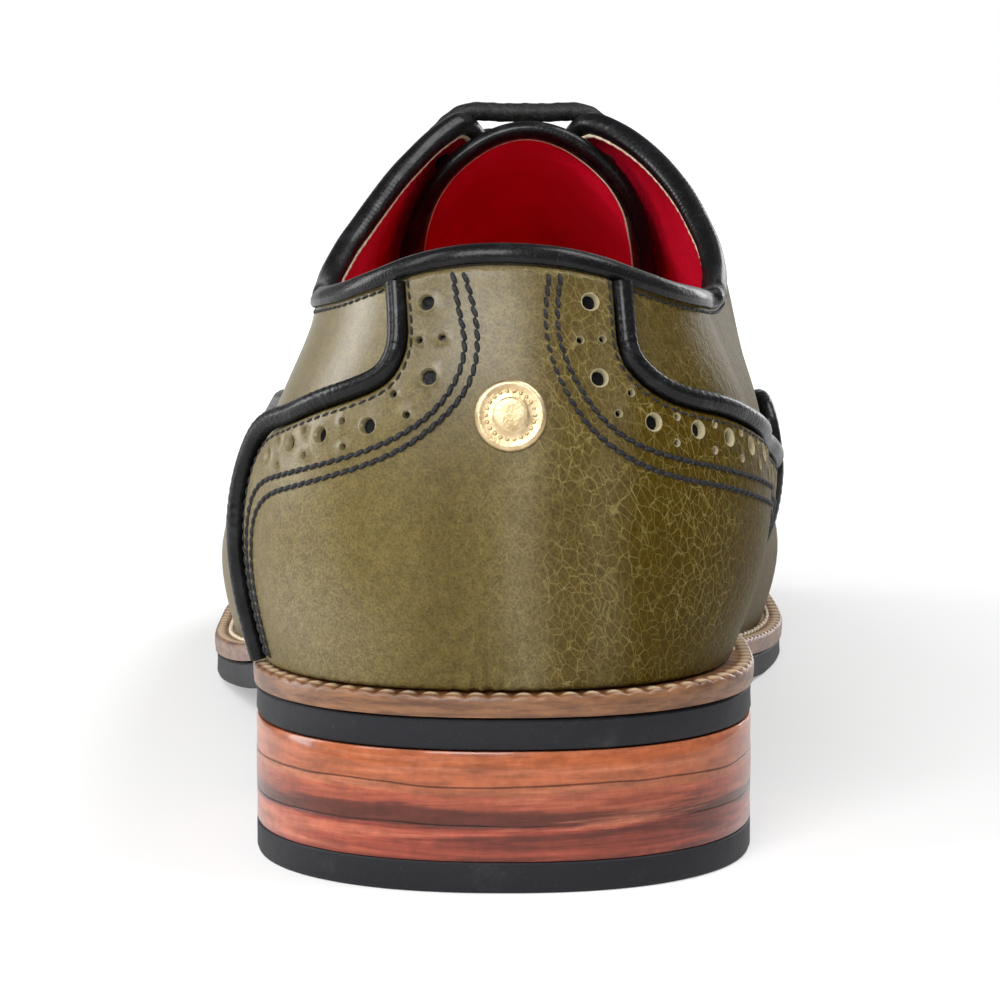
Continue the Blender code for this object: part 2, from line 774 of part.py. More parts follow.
def make_sole():
    places = fan_places(SOLE_ALONG)
    bottom = (
        ("sole", OUTSOLE_INSET + OUTSOLE_BEVEL, outsole_foot),
        ("sole", OUTSOLE_INSET, lambda along: outsole_foot(along) + OUTSOLE_BEVEL),
        ("sole", OUTSOLE_INSET, outsole_top),
    )
    add_layer("outsole", places, bottom, rubber, False)
    lining = (
        ("feather", WELT_INSIDE + GAP, welt_foot),
        ("feather", WELT_INSIDE + GAP, feather),
        ("feather", WALL + INSOLE_GAP, feather),
        ("feather", WALL + INSOLE_GAP, lambda along: feather(along) + INSOLE),
    )
    add_layer("insole", places, lining, insole, False)
    section = (
        ("sole", 0.0, welt_foot),
        ("sole", 0.0, lambda along: welt_top(along) - WELT_BEVEL),
        ("sole", WELT_BEVEL, welt_top),
        ("feather", WELT_INSIDE, welt_top),
        ("feather", WELT_INSIDE, welt_foot),
    )
    rings = []
    for side in SIDES:
        row = places if side == "out" else places[-2:0:-1]
        for place in row:
            ring = []
            for level, inset, rise in section:
                flat = outline(level, side, place, inset)
                ring.append((flat[0], flat[1], rise(flat[1])))
            rings.append(ring)
    add_sweep("welt", rings, True, welt)


def make_heel():
    places = [place for place in fan_places(SOLE_ALONG) if place <= place_of(HEEL_BREAST) + MM]
    worn = (
        ("sole", HEEL_INSET + TOP_LIFT_BEVEL, lambda along: 0.0),
        ("sole", HEEL_INSET, lambda along: TOP_LIFT_BEVEL),
        ("sole", HEEL_INSET, lambda along: TOP_LIFT),
    )
    add_layer("top_lift", places, worn, rubber_lift, True)
    for number in range(STACK_LIFTS):
        def level(along, share):
            top = outsole_foot(along) - GAP
            return TOP_LIFT + GAP + share * (top - TOP_LIFT - GAP)

        def foot(along, number=number):
            return level(along, number / STACK_LIFTS)

        def head(along, number=number):
            gap = GAP if number < STACK_LIFTS - 1 else 0.0
            return level(along, (number + 1) / STACK_LIFTS) - gap

        lift = (("sole", HEEL_INSET, foot), ("sole", HEEL_INSET, head))
        add_layer("heel_lift_%d" % (number + 1), places, lift, stack, True)


def make_stud():
    place = place_around("in", STUD_AROUND)
    length = Rib("in", place).length
    base, normal = skin("in", place, STUD_UP / length, GAP + OVERLAY + GAP + SLACK)
    across = np.cross(normal, (0.0, 0.0, 1.0))
    across /= np.linalg.norm(across)
    upward = np.cross(across, normal)
    turns = np.arange(STUD_SIDES) * 2 * np.pi / STUD_SIDES
    rings = []
    for radius, rise in zip(*(column(STUD_TURN, STUD_COLUMNS, name) for name in STUD_COLUMNS)):
        centre = base + normal * rise
        rings.append([centre + radius * (np.cos(turn) * across + np.sin(turn) * upward) for turn in turns])
    add_sweep("back_stud", rings, False, brass)


for old in list(bpy.data.objects):
    bpy.data.objects.remove(old)

shoe = bpy.data.collections.new("brogue")
bpy.context.scene.collection.children.link(shoe)
stand = bpy.data.objects.new("stand", None)
bpy.context.scene.collection.objects.link(stand)

leather = material("upper_leather", OLIVE, 0.42)
leather_counter = material("counter_leather", OLIVE, 0.42)
leather_wing = material("wing_leather", OLIVE, 0.42)
piping = material("piping_leather", BLACK, 0.4)
binding = material("binding_leather", BLACK, 0.4)
tongue_leather = material("tongue_leather", BLACK, 0.45)
lace = material("lace_cotton", BLACK, 0.6)
rubber = material("outsole_rubber", RUBBER, 0.6)
rubber_lift = material("top_lift_rubber", RUBBER, 0.6)
welt = material("welt_leather", WELT_BROWN, 0.5)
stack = material("stack_leather", STACK_BROWN, 0.3)
insole = material("insole_leather", INSOLE_RED, 0.6)
brass = material("stud_brass", BRASS, 0.3, 1.0)

make_upper()
make_counter()
make_counter_piping()
make_wing()
make_wing_piping()
make_binding()
make_tongue()
make_lace()
make_sole()
make_heel()
make_stud()

# The shoe stands with the middle of its box on the origin.
corners = np.array([tuple(vertex.co) for piece in shoe.objects for vertex in piece.data.vertices])
middle = 0.5 * (corners.min(axis=0) + corners.max(axis=0))
stand.location = (-middle[0], -middle[1], 0.0)
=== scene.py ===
import math
from functools import partial

import bmesh
import bpy
import numpy as np
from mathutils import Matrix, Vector, geometry


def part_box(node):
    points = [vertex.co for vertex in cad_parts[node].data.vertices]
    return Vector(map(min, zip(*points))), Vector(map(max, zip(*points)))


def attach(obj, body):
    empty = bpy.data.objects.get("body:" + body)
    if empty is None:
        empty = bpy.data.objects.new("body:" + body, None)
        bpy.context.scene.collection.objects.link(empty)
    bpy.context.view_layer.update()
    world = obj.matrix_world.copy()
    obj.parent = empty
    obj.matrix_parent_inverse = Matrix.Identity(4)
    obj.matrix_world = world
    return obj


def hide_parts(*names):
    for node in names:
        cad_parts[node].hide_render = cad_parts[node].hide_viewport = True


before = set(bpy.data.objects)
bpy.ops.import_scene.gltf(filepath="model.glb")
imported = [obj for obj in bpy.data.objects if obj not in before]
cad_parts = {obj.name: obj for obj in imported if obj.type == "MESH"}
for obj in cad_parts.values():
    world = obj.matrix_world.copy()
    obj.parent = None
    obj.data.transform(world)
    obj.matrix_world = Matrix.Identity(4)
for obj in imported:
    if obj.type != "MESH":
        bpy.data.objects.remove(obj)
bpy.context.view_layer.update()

print("frame loaded:", len(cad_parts), "nodes")

mm = 0.001
sideSign = {"Out": -1.0, "In": 1.0}  # Out is the lateral side of this left shoe

# The shoe's form in millimetres; y runs forward from the back of the sole
form = {
    "heelCentre": 38.0, "toeCentre": 214.0, "throat": 168.5,
    "heelRound": 2.25, "toeRound": 2.0, "edgeRound": 2.2, "toeNarrow": 0.56,
    "sectionNames": (
        "along", "soleOut", "soleIn", "featherOut", "featherIn", "featherZ",
        "girthOut", "girthIn", "girthZ", "shoulderOut", "shoulderIn", "shoulderZ",
    ),
    "sections": (
        (38.0, 35.2, 35.2, 32.4, 30.4, 27.3, 35.8, 35.8, 45.0, 30.4, 32.8, 65.0),
        (62.0, 35.4, 34.4, 32.6, 29.8, 26.6, 38.0, 37.4, 43.0, 31.0, 35.8, 63.0),
        (90.0, 36.8, 32.0, 33.6, 28.4, 22.5, 40.2, 36.8, 38.0, 30.6, 35.2, 64.0),
        (118.0, 40.6, 31.0, 36.6, 28.4, 17.0, 42.8, 36.4, 33.0, 29.2, 32.8, 66.0),
        (146.0, 46.4, 34.4, 41.6, 31.0, 12.3, 46.0, 38.0, 28.0, 31.4, 32.6, 58.0),
        (172.0, 51.6, 41.0, 46.5, 36.6, 9.4, 49.3, 41.4, 24.3, 34.4, 33.6, 50.6),
        (194.0, 54.0, 46.4, 48.8, 41.4, 7.8, 51.0, 45.0, 22.2, 36.4, 35.0, 45.2),
        (214.0, 54.4, 49.0, 49.2, 43.8, 7.9, 51.2, 46.6, 21.2, 36.8, 35.6, 41.4),
    ),
    "endNames": ("heelAlong", "heelZ", "toeAlong", "toeZ"),
    "ends": {
        "sole": (0.0, 27.3, 304.0, 17.5),
        "feather": (2.8, 27.3, 298.8, 17.2),
        "girth": (0.8, 46.0, 298.2, 26.5),
        "shoulder": (3.2, 67.0, 281.0, 38.5),
    },
    "edgeNames": ("along", "crest", "halfGap", "z", "lean"),
    "edge": (
        (7.6, 0.0, 0.0, 85.2, 80.0),
        (10.0, 1.1, 26.9, 83.6, 80.0),
        (14.0, 1.1, 26.9, 81.3, 79.5),
        (20.0, 1.1, 26.9, 79.3, 79.0),
        (28.0, 1.1, 26.9, 78.1, 78.5),
        (38.0, 1.1, 26.9, 77.2, 78.0),
        (50.0, 1.5, 28.1, 76.5, 76.0),
        (62.0, 1.8, 28.8, 76.2, 74.0),
        (70.0, 1.9, 29.4, 76.5, 72.0),
        (78.0, 2.2, 29.4, 78.1, 69.0),
        (85.0, 2.9, 28.3, 81.8, 65.0),
        (92.0, 3.5, 25.8, 86.3, 59.0),
        (98.0, 3.8, 23.1, 90.4, 53.0),
        (104.0, 3.8, 19.6, 94.5, 47.0),
        (111.0, 3.3, 14.3, 98.9, 38.0),
        (115.0, 2.6, 10.6, 100.6, 33.0),
        (120.0, 2.2, 8.2, 99.0, 30.0),
        (146.0, 2.2, 5.3, 86.8, 24.0),
        (166.0, 2.2, 3.0, 78.0, 10.0),
        (168.5, 2.2, 0.0, 77.0, 0.0),
        (190.0, 1.4, 0.0, 68.6, 0.0),
        (214.0, 0.0, 0.0, 59.5, 0.0),
    ),
    "fanSteps": 60, "bodySteps": 176, "rows": 121,
}
section = dict(zip(form["sectionNames"], np.array(form["sections"]).T))
edge = dict(zip(form["edgeNames"], np.array(form["edge"]).T))


# Curves through table rows

def cubicLine(xs, ys, x, start=None, end=None):
    xs, ys, x = (np.asarray(a, float) for a in (xs, ys, x))
    step = np.diff(xs)
    rise = np.diff(ys) / step
    system = np.eye(len(xs))
    target = np.zeros(len(xs))
    for i in range(1, len(xs) - 1):
        system[i, i - 1:i + 2] = (step[i - 1], 2 * (step[i - 1] + step[i]), step[i])
        target[i] = 6 * (rise[i] - rise[i - 1])
    if start is not None:
        system[0, :2] = (2 * step[0], step[0])
        target[0] = 6 * (rise[0] - start)
    if end is not None:
        system[-1, -2:] = (step[-1], 2 * step[-1])
        target[-1] = 6 * (end - rise[-1])
    bend = np.linalg.solve(system, target)
    i = np.clip(np.searchsorted(xs, x) - 1, 0, len(xs) - 2)
    left, right, wide = x - xs[i], xs[i + 1] - x, step[i]
    curve = (bend[i] * right ** 3 + bend[i + 1] * left ** 3) / (6 * wide)
    curve = curve + (ys[i] / wide - bend[i] * wide / 6) * right
    return curve + (ys[i + 1] / wide - bend[i + 1] * wide / 6) * left


def steadyLine(xs, ys, x):  # never swings past its rows
    xs, ys = np.asarray(xs, float), np.asarray(ys, float)
    step = np.diff(xs)
    rise = np.diff(ys) / step
    slope = np.concatenate([rise[:1], np.zeros(len(xs) - 2), rise[-1:]])
    for i in range(1, len(xs) - 1):
        if rise[i - 1] * rise[i] > 0:
            near, far = 2 * step[i] + step[i - 1], step[i] + 2 * step[i - 1]
            slope[i] = (near + far) / (near / rise[i - 1] + far / rise[i])
    x = np.clip(np.asarray(x, float), xs[0], xs[-1])
    i = np.clip(np.searchsorted(xs, x) - 1, 0, len(xs) - 2)
    t = (x - xs[i]) / step[i]
    ends = (2 * t ** 3 - 3 * t ** 2 + 1) * ys[i] + (3 * t ** 2 - 2 * t ** 3) * ys[i + 1]
    return ends + step[i] * ((t ** 3 - 2 * t ** 2 + t) * slope[i] + (t ** 3 - t ** 2) * slope[i + 1])


def softStep(x, low, high):
    t = np.clip((np.asarray(x, float) - low) / (high - low), 0.0, 1.0)
    return t * t * (3 - 2 * t)


def unit(vectors):
    return vectors / np.maximum(np.linalg.norm(vectors, axis=-1, keepdims=True), 1e-9)


def runLength(points):
    steps = np.linalg.norm(np.diff(points, axis=0), axis=1)
    return np.concatenate([[0.0], np.cumsum(steps)])


def readAt(marks, runs, rows):  # rows of values at the marks along a run
    return np.stack([np.interp(marks, runs, column) for column in np.asarray(rows).T], 1)


def evenLine(points, step, smooth=False):
    points = np.asarray(points, float)
    runs = runLength(points)
    marks = np.linspace(0.0, runs[-1], max(int(runs[-1] / step) + 1, 2))
    if smooth:
        return np.stack([cubicLine(runs, column, marks) for column in points.T], 1)
    return readAt(marks, runs, points)


def besideLine(line, distance):  # positive moves a flat line to its left
    run = unit(np.gradient(np.asarray(line, float), axis=0))
    return line + distance * np.stack([-run[:, 1], run[:, 0]], 1)


# Levels of the form in plan

def halfWidth(level, side, along):
    if level == "edge":
        half = steadyLine(edge["along"][1:], edge["halfGap"][1:], along)
        return half + sideSign[side] * steadyLine(edge["along"][1:], edge["crest"][1:], along)
    return cubicLine(section["along"], section[level + side], along, 0.0, 0.0)


def levelHeight(level, along):
    if level == "edge":
        return steadyLine(edge["along"], edge["z"], along)
    ends = dict(zip(form["endNames"], form["ends"][level]))
    xs = np.concatenate([[ends["heelAlong"]], section["along"], [ends["toeAlong"]]])
    zs = np.concatenate([[ends["heelZ"]], section[level + "Z"], [ends["toeZ"]]])
    return cubicLine(xs, zs, along)


def planAt(level, side, places, inset=0.0):  # places: 0 to 1 heel, 1 to 2 body, 2 to 3 toe
    places = np.asarray(places, float)
    heel, toe = places < 1.0, places > 2.0
    body = form["toeCentre"] - form["heelCentre"]
    along = form["heelCentre"] + (np.clip(places, 1.0, 2.0) - 1.0) * body
    turn = np.where(heel, places, np.where(toe, 3.0 - places, 1.0)) * math.pi / 2
    forward = np.where(heel, -np.cos(turn), np.where(toe, np.cos(turn), 0.0))
    outward = np.stack([sideSign[side] * np.sin(turn), forward], 1)
    centre = np.stack([np.zeros_like(along), along], 1)
    wide = halfWidth(level, side, along) - inset
    if level == "edge":
        heelDeep, power = form["heelCentre"] - edge["along"][0], form["edgeRound"]
        toeDeep = None
    else:
        ends = dict(zip(form["endNames"], form["ends"][level]))
        heelDeep, power = form["heelCentre"] - ends["heelAlong"] - inset, form["heelRound"]
        toeDeep = ends["toeAlong"] - form["toeCentre"] - inset

    def roundEnd(deep, bend):
        sideways = (np.sin(turn) / np.maximum(wide, 1e-6)) ** bend
        return (sideways + (np.abs(np.cos(turn)) / deep) ** bend) ** (-1 / bend)

    reach = np.where(heel, roundEnd(heelDeep, power), wide)
    if toeDeep is None:
        return centre, outward, np.where(toe, 0.0, reach)
    return centre, outward, np.where(toe, roundEnd(toeDeep, form["toeRound"]), reach)


def outlineAt(level, side, places, inset=0.0):
    centre, outward, reach = planAt(level, side, places, inset)
    return centre + outward * reach[:, None]


def placeOf(along):
    return 1.0 + (np.asarray(along, float) - form["heelCentre"]) / (form["toeCentre"] - form["heelCentre"])


def allPlaces(fanSteps, bodySteps):
    swings = np.linspace(math.pi / 2, 0.0, fanSteps + 1)[1:]
    toe = 3.0 - 2.0 * np.arctan2(form["toeNarrow"] * np.sin(swings), np.cos(swings)) / math.pi
    heel = np.linspace(0.0, 1.0, fanSteps + 1)[:-1]
    return np.concatenate([heel, np.linspace(1.0, 2.0, bodySteps + 1), toe])


# The upper's outside as a dense grid of points and directions for each side

def buildSkin(side):
    places = allPlaces(form["fanSteps"], form["bodySteps"])
    reaches, heights = [], []
    for level in ("feather", "girth", "shoulder", "edge"):
        centre, outward, reach = planAt(level, side, places)
        along = (centre + outward * reach[:, None])[:, 1]
        reaches.append(reach)
        heights.append(levelHeight(level, along))
    reaches, heights = np.stack(reaches, 1), np.stack(heights, 1)
    lean = np.radians(steadyLine(edge["along"], edge["lean"], along))
    crestEnd = form["toeCentre"]
    crestSlope = float(levelHeight("edge", crestEnd) - levelHeight("edge", crestEnd - 1.0))
    toe = places > 2.0
    topRise = np.where(toe, -crestSlope * outward[:, 1], np.sin(lean))
    top = unit(np.stack([np.where(toe, -1.0, -np.cos(lean)), topRise], 1))
    steps = np.hypot(np.diff(reaches, axis=1), np.diff(heights, axis=1))
    runs = np.concatenate([np.zeros((len(places), 1)), np.cumsum(steps, axis=1)], 1)
    ups = np.linspace(0.0, 1.0, form["rows"])
    points = np.zeros((len(places), form["rows"], 3))
    for i in range(len(places)):
        marks = ups * runs[i, -1]
        reach = cubicLine(runs[i], reaches[i], marks, None, top[i, 0])
        points[i, :, :2] = centre[i] + outward[i] * reach[:, None]
        points[i, :, 2] = cubicLine(runs[i], heights[i], marks, None, top[i, 1])
    normals = np.cross(np.gradient(points, axis=0), np.gradient(points, axis=1)) * sideSign[side]
    normals[[0, -1], :, 0] = 0.0
    closed = places >= placeOf(form["throat"])
    crestAlong = points[closed, -1, 1]
    slope = levelHeight("edge", crestAlong) - levelHeight("edge", crestAlong - 1.0)
    normals[closed, -1] = np.stack([0 * slope, -slope, 0 * slope + 1], 1)
    return {
        "places": places, "points": points, "normals": unit(normals), "length": runs[:, -1],
        "around": runLength(outlineAt("girth", side, places)), "index": np.arange(len(places)),
    }


skins = {side: buildSkin(side) for side in sideSign}
print("form ready:", len(skins["In"]["places"]), "sections a side")


def ribLength(side, around):
    return np.interp(around, skins[side]["around"], skins[side]["length"])


def aroundOf(side, along):
    return np.interp(placeOf(along), skins[side]["places"], skins[side]["around"])


def alongOf(side, around):
    place = np.interp(around, skins[side]["around"], skins[side]["places"])
    return form["heelCentre"] + (place - 1.0) * (form["toeCentre"] - form["heelCentre"])


def onSkin(side, around, up, lift=0.0):  # points and outward directions, from mm around and mm up
    skin = skins[side]
    around, up = np.broadcast_arrays(np.asarray(around, float), np.asarray(up, float))
    column = np.interp(around, skin["around"], skin["index"])
    row = np.clip(up / np.interp(column, skin["index"], skin["length"]), 0.0, 1.0) * (form["rows"] - 1)
    i = np.clip(column.astype(int), 0, len(skin["index"]) - 2)
    j = np.clip(row.astype(int), 0, form["rows"] - 2)
    a, b = (column - i)[..., None], (row - j)[..., None]

    def between(grid):
        low = grid[i, j] * (1 - a) + grid[i + 1, j] * a
        high = grid[i, j + 1] * (1 - a) + grid[i + 1, j + 1] * a
        return low * (1 - b) + high * b

    normal = unit(between(skin["normals"]))
    return between(skin["points"]) + normal * np.asarray(lift, float)[..., None], normal


def onHeel(across, up, lift=0.0):  # one map round the back: lateral is negative
    outPoint, outNormal = onSkin("Out", np.maximum(-across, 0.0), up, lift)
    inPoint, inNormal = onSkin("In", np.maximum(across, 0.0), up, lift)
    lateral = (across < 0)[..., None]
    return np.where(lateral, outPoint, inPoint), np.where(lateral, outNormal, inNormal)


# Mesh helpers

weltLow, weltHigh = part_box("welt")
shift = np.array([0.5 * (weltLow.x + weltHigh.x) / mm, weltLow.y / mm, 0.0])
shift[0] += 0.5 * (float(section["soleOut"].max()) - float(section["soleIn"].max()))


def addPiece(
    name, points, faces, looks, slot, stands=(), finishOf=None, tints=None, weld=0.0, sharp=50.0,
):
    mesh = bpy.data.meshes.new(name)
    mesh.from_pydata(((np.asarray(points) + shift) * mm).tolist(), [], [tuple(face) for face in faces])
    for look in looks:
        mesh.materials.append(finishes[look])
    if finishOf is not None:
        mesh.polygons.foreach_set("material_index", np.asarray(finishOf, np.int32))
    for tint, values in (tints or {}).items():
        layer = mesh.attributes.new(tint, "FLOAT", "POINT")
        layer.data.foreach_set("value", np.asarray(values, np.float32))
    build = bmesh.new()
    build.from_mesh(mesh)
    if weld:
        bmesh.ops.remove_doubles(build, verts=build.verts, dist=weld * mm)
        bmesh.ops.dissolve_degenerate(build, edges=build.edges, dist=1e-7)
    bmesh.ops.recalc_face_normals(build, faces=build.faces)
    build.to_mesh(mesh)
    build.free()
    mesh.shade_smooth()
    mesh.set_sharp_from_angle(angle=math.radians(sharp))
    piece = bpy.data.objects.new(name, mesh)
    bpy.context.scene.collection.objects.link(piece)
    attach(piece, "root")
    if stands:
        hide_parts(*stands)
    return piece


def gridFaces(columns, rows, wrapColumns=False, wrapRows=False):
    i = np.arange(columns if wrapColumns else columns - 1)
    j = np.arange(rows if wrapRows else rows - 1)
    a, b = (grid.ravel() for grid in np.meshgrid(i, j, indexing="ij"))
    c, d = (a + 1) % columns, (b + 1) % rows
    return np.stack([a * rows + b, c * rows + b, c * rows + d, a * rows + d], 1).tolist()


def joinParts(parts):  # many small meshes as one list of points and faces
    points, faces, start = [], [], 0
    for part, partFaces in parts:
        points.append(np.asarray(part).reshape(-1, 3))
        faces.extend([tuple(corner + start for corner in face) for face in partFaces])
        start += len(points[-1])
    return np.concatenate(points), faces


def sweep(rings, closed=False):
    rings = np.asarray(rings)
    columns, rows = rings.shape[:2]
    faces = gridFaces(columns, rows, closed, True)
    if not closed:
        faces.append(list(range(rows))[::-1])
        faces.append([(columns - 1) * rows + j for j in range(rows)])
    return rings.reshape(-1, 3), faces


def tubeRings(path, normals, radius, sides, relief=None):
    path = np.asarray(path)
    tangents = unit(np.gradient(path, axis=0))
    across = unit(np.cross(tangents, normals))
    upward = np.cross(across, tangents)
    turns = (np.arange(sides) + 0.5) * 2 * math.pi / sides
    size = np.broadcast_to(np.asarray(radius, float), (len(path),))[:, None] * np.ones(sides)
    if relief is not None:
        size = size + relief(runLength(path)[:, None], turns[None, :])
    cosine, sine = np.cos(turns)[None, :, None], np.sin(turns)[None, :, None]
    return path[:, None] + size[..., None] * (cosine * across[:, None] + sine * upward[:, None])


def stitchRow(path, normals, look):  # short threads laid end to end, each a little slanted
    runs = runLength(path)
    count = max(int(runs[-1] / look["pitch"]), 1)
    marks = (np.arange(count) + 0.5) * runs[-1] / count
    centre = readAt(marks, runs, path)
    normal = unit(readAt(marks, runs, normals))
    tangent = unit(readAt(marks, runs, unit(np.gradient(path, axis=0))))
    across = unit(np.cross(normal, tangent))
    tangent = unit(tangent + look["slant"] * across)
    across = unit(np.cross(normal, tangent))
    stations = np.array((-1.0, -0.72, -0.25, 0.25, 0.72, 1.0))
    fat = np.array((0.3, 0.8, 1.0, 1.0, 0.8, 0.3)) * look["radius"]
    rise = np.array((-0.7, -0.1, 0.25, 0.25, -0.1, -0.7)) * look["radius"]
    turns = np.arange(6) * math.pi / 3
    middle = centre[:, None] + 0.5 * look["length"] * stations[None, :, None] * tangent[:, None]
    middle = middle + rise[None, :, None] * normal[:, None]
    ring = np.cos(turns)[:, None] * across[:, None, None] + np.sin(turns)[:, None] * normal[:, None, None]
    points = middle[:, :, None] + fat[None, :, None, None] * ring
    single = gridFaces(6, 6, False, True) + [list(range(6))[::-1], [30 + j for j in range(6)]]
    faces = [[corner + 36 * i for corner in face] for i in range(count) for face in single]
    return points.reshape(-1, 3), faces


def insideLine(points, line):
    x, y = points[:, :1], points[:, 1:]
    ax, ay = line[:, 0][None], line[:, 1][None]
    bx, by = np.roll(line[:, 0], -1)[None], np.roll(line[:, 1], -1)[None]
    level = (ay > y) != (by > y)
    cross = ax + (y - ay) / np.where(by == ay, 1e-9, by - ay) * (bx - ax)
    return (level & (x < cross)).sum(1) % 2 == 1


def lineDistance(points, line):
    start, stop = line, np.roll(line, -1, axis=0)
    run = stop - start
    size = np.maximum((run ** 2).sum(1), 1e-12)
    best = np.full(len(points), 1e9)
    for i in range(len(line)):
        t = np.clip(((points - start[i]) @ run[i]) / size[i], 0.0, 1.0)
        best = np.minimum(best, np.linalg.norm(points - start[i] - t[:, None] * run[i], axis=1))
    return best


def cutPanel(line, holes, cut, stretch):  # flat triangles inside a line, with round holes left open
    line = np.asarray(line)
    coords, edges = [line], [(i, (i + 1) % len(line)) for i in range(len(line))]
    start = len(line)
    centres = np.array([hole[:2] for hole in holes]).reshape(-1, 2)
    scale = stretch(centres)
    rims = [np.zeros(len(line))]
    for (x, y, radius), (wide, tall) in zip(holes, scale):
        sides = cut["bigSides"] if radius > cut["bigFrom"] else cut["smallSides"]
        turns = np.arange(sides) * 2 * math.pi / sides
        for share, rim in ((1.0, 1.0), (cut["rimShare"], 0.85), (cut["rimShare"] ** 2, 0.0)):
            reach = share * radius
            ring = np.stack([x + reach / wide * np.cos(turns), y + reach / tall * np.sin(turns)], 1)
            if rim == 1.0:
                edges += [(start + i, start + (i + 1) % sides) for i in range(sides)]
            coords.append(ring)
            rims.append(np.full(sides, rim))
            start += sides
    low, high = line.min(0), line.max(0)
    marks = [np.arange(low[k] + cut["step"] / 2, high[k], cut["step"]) for k in range(2)]
    grid = np.stack(np.meshgrid(*marks, indexing="ij"), 2).reshape(-1, 2)
    grid = np.concatenate([grid, cut.get("extra", np.zeros((0, 2)))])
    for inset in cut["hemInsets"]:
        grid = np.concatenate([besideLine(np.concatenate([line, line[:1]]), inset)[:-1], grid])
    depth = lineDistance(grid, line)
    keep = insideLine(grid, line) & (depth > cut["hemInsets"][0] * 0.9)
    for (x, y, radius), (wide, tall) in zip(holes, scale):
        near = np.hypot((grid[:, 0] - x) * wide, (grid[:, 1] - y) * tall)
        keep &= near > radius * cut["rimShare"] ** 2 + 0.3
    coords.append(grid[keep])
    rims.append(np.zeros(int(keep.sum())))
    flat = np.concatenate(coords)
    made = geometry.delaunay_2d_cdt([Vector(point) for point in flat], edges, [], 0, 1e-6, True)
    flat = np.array([tuple(point) for point in made[0]])
    source = [ids[0] if ids else 0 for ids in made[3]]
    rim = np.concatenate(rims)[source]
    triangles = np.array([face for face in made[2] if len(face) == 3])
    middle = flat[triangles].mean(1)
    inside = insideLine(middle, line)
    for (x, y, radius), (wide, tall) in zip(holes, scale):
        inside &= np.hypot((middle[:, 0] - x) * wide, (middle[:, 1] - y) * tall) > radius * 0.97
    return flat, triangles[inside], rim, lineDistance(flat, line)


def thickPanel(outer, inner, triangles, seam=None):  # closes a sheet into a wall, but not along a seam
    count = len(outer)
    seam = np.zeros(count, bool) if seam is None else seam
    front = triangles.tolist()
    edges = dict.fromkeys((a, b) for face in front for a, b in zip(face, face[1:] + face[:1]))
    rim = [(a, b) for a, b in edges if (b, a) not in edges and not (seam[a] and seam[b])]
    walls = [(b, a, a + count, b + count) for a, b in rim]
    back = [[corner + count for corner in face[::-1]] for face in front]
    return np.concatenate([outer, inner]), front + back + walls


# Shader maths: a wire is a socket that takes part in Python sums

class Wire:
    def __init__(self, graph, socket):
        self.graph = graph
        self.socket = socket

    def maths(self, operation, first, second):
        return self.graph.node("ShaderNodeMath", {"operation": operation}, {0: first, 1: second})

    def __add__(self, other):
        return self.maths("ADD", self, other)

    __radd__ = __add__

    def __sub__(self, other):
        return self.maths("SUBTRACT", self, other)

    def __rsub__(self, other):
        return self.maths("SUBTRACT", other, self)

    def __mul__(self, other):
        return self.maths("MULTIPLY", self, other)

    __rmul__ = __mul__

    def __truediv__(self, other):
        return self.maths("DIVIDE", self, other)

    def sine(self):
        return self.maths("SINE", self, 0.0)

    def size(self):
        return self.maths("ABSOLUTE", self, 0.0)

    def ramp(self, low, high, start=0.0, stop=1.0):
        values = {"Value": self, "From Min": low, "From Max": high, "To Min": start, "To Max": stop}
        return self.graph.node("ShaderNodeMapRange", {"interpolation_type": "SMOOTHSTEP"}, values)


class Graph:
    def __init__(self, tree):
        self.tree = tree

    def node(self, kind, settings, values, output=0):
        made = self.tree.nodes.new(kind)
        for key, value in settings.items():
            if key == "stops":
                ramp = made.color_ramp
                while len(ramp.elements) < len(value):
                    ramp.elements.new(0.5)
                for element, (spot, colour) in zip(ramp.elements, value):
                    element.position = spot
                    element.color = (*colour, 1.0)
            else:
                setattr(made, key, value)
        for key, value in values.items():
            socket = made.inputs[key]
            if isinstance(value, Wire):
                self.tree.links.new(value.socket, socket)
            else:
                socket.default_value = value
        return Wire(self, made.outputs[output])


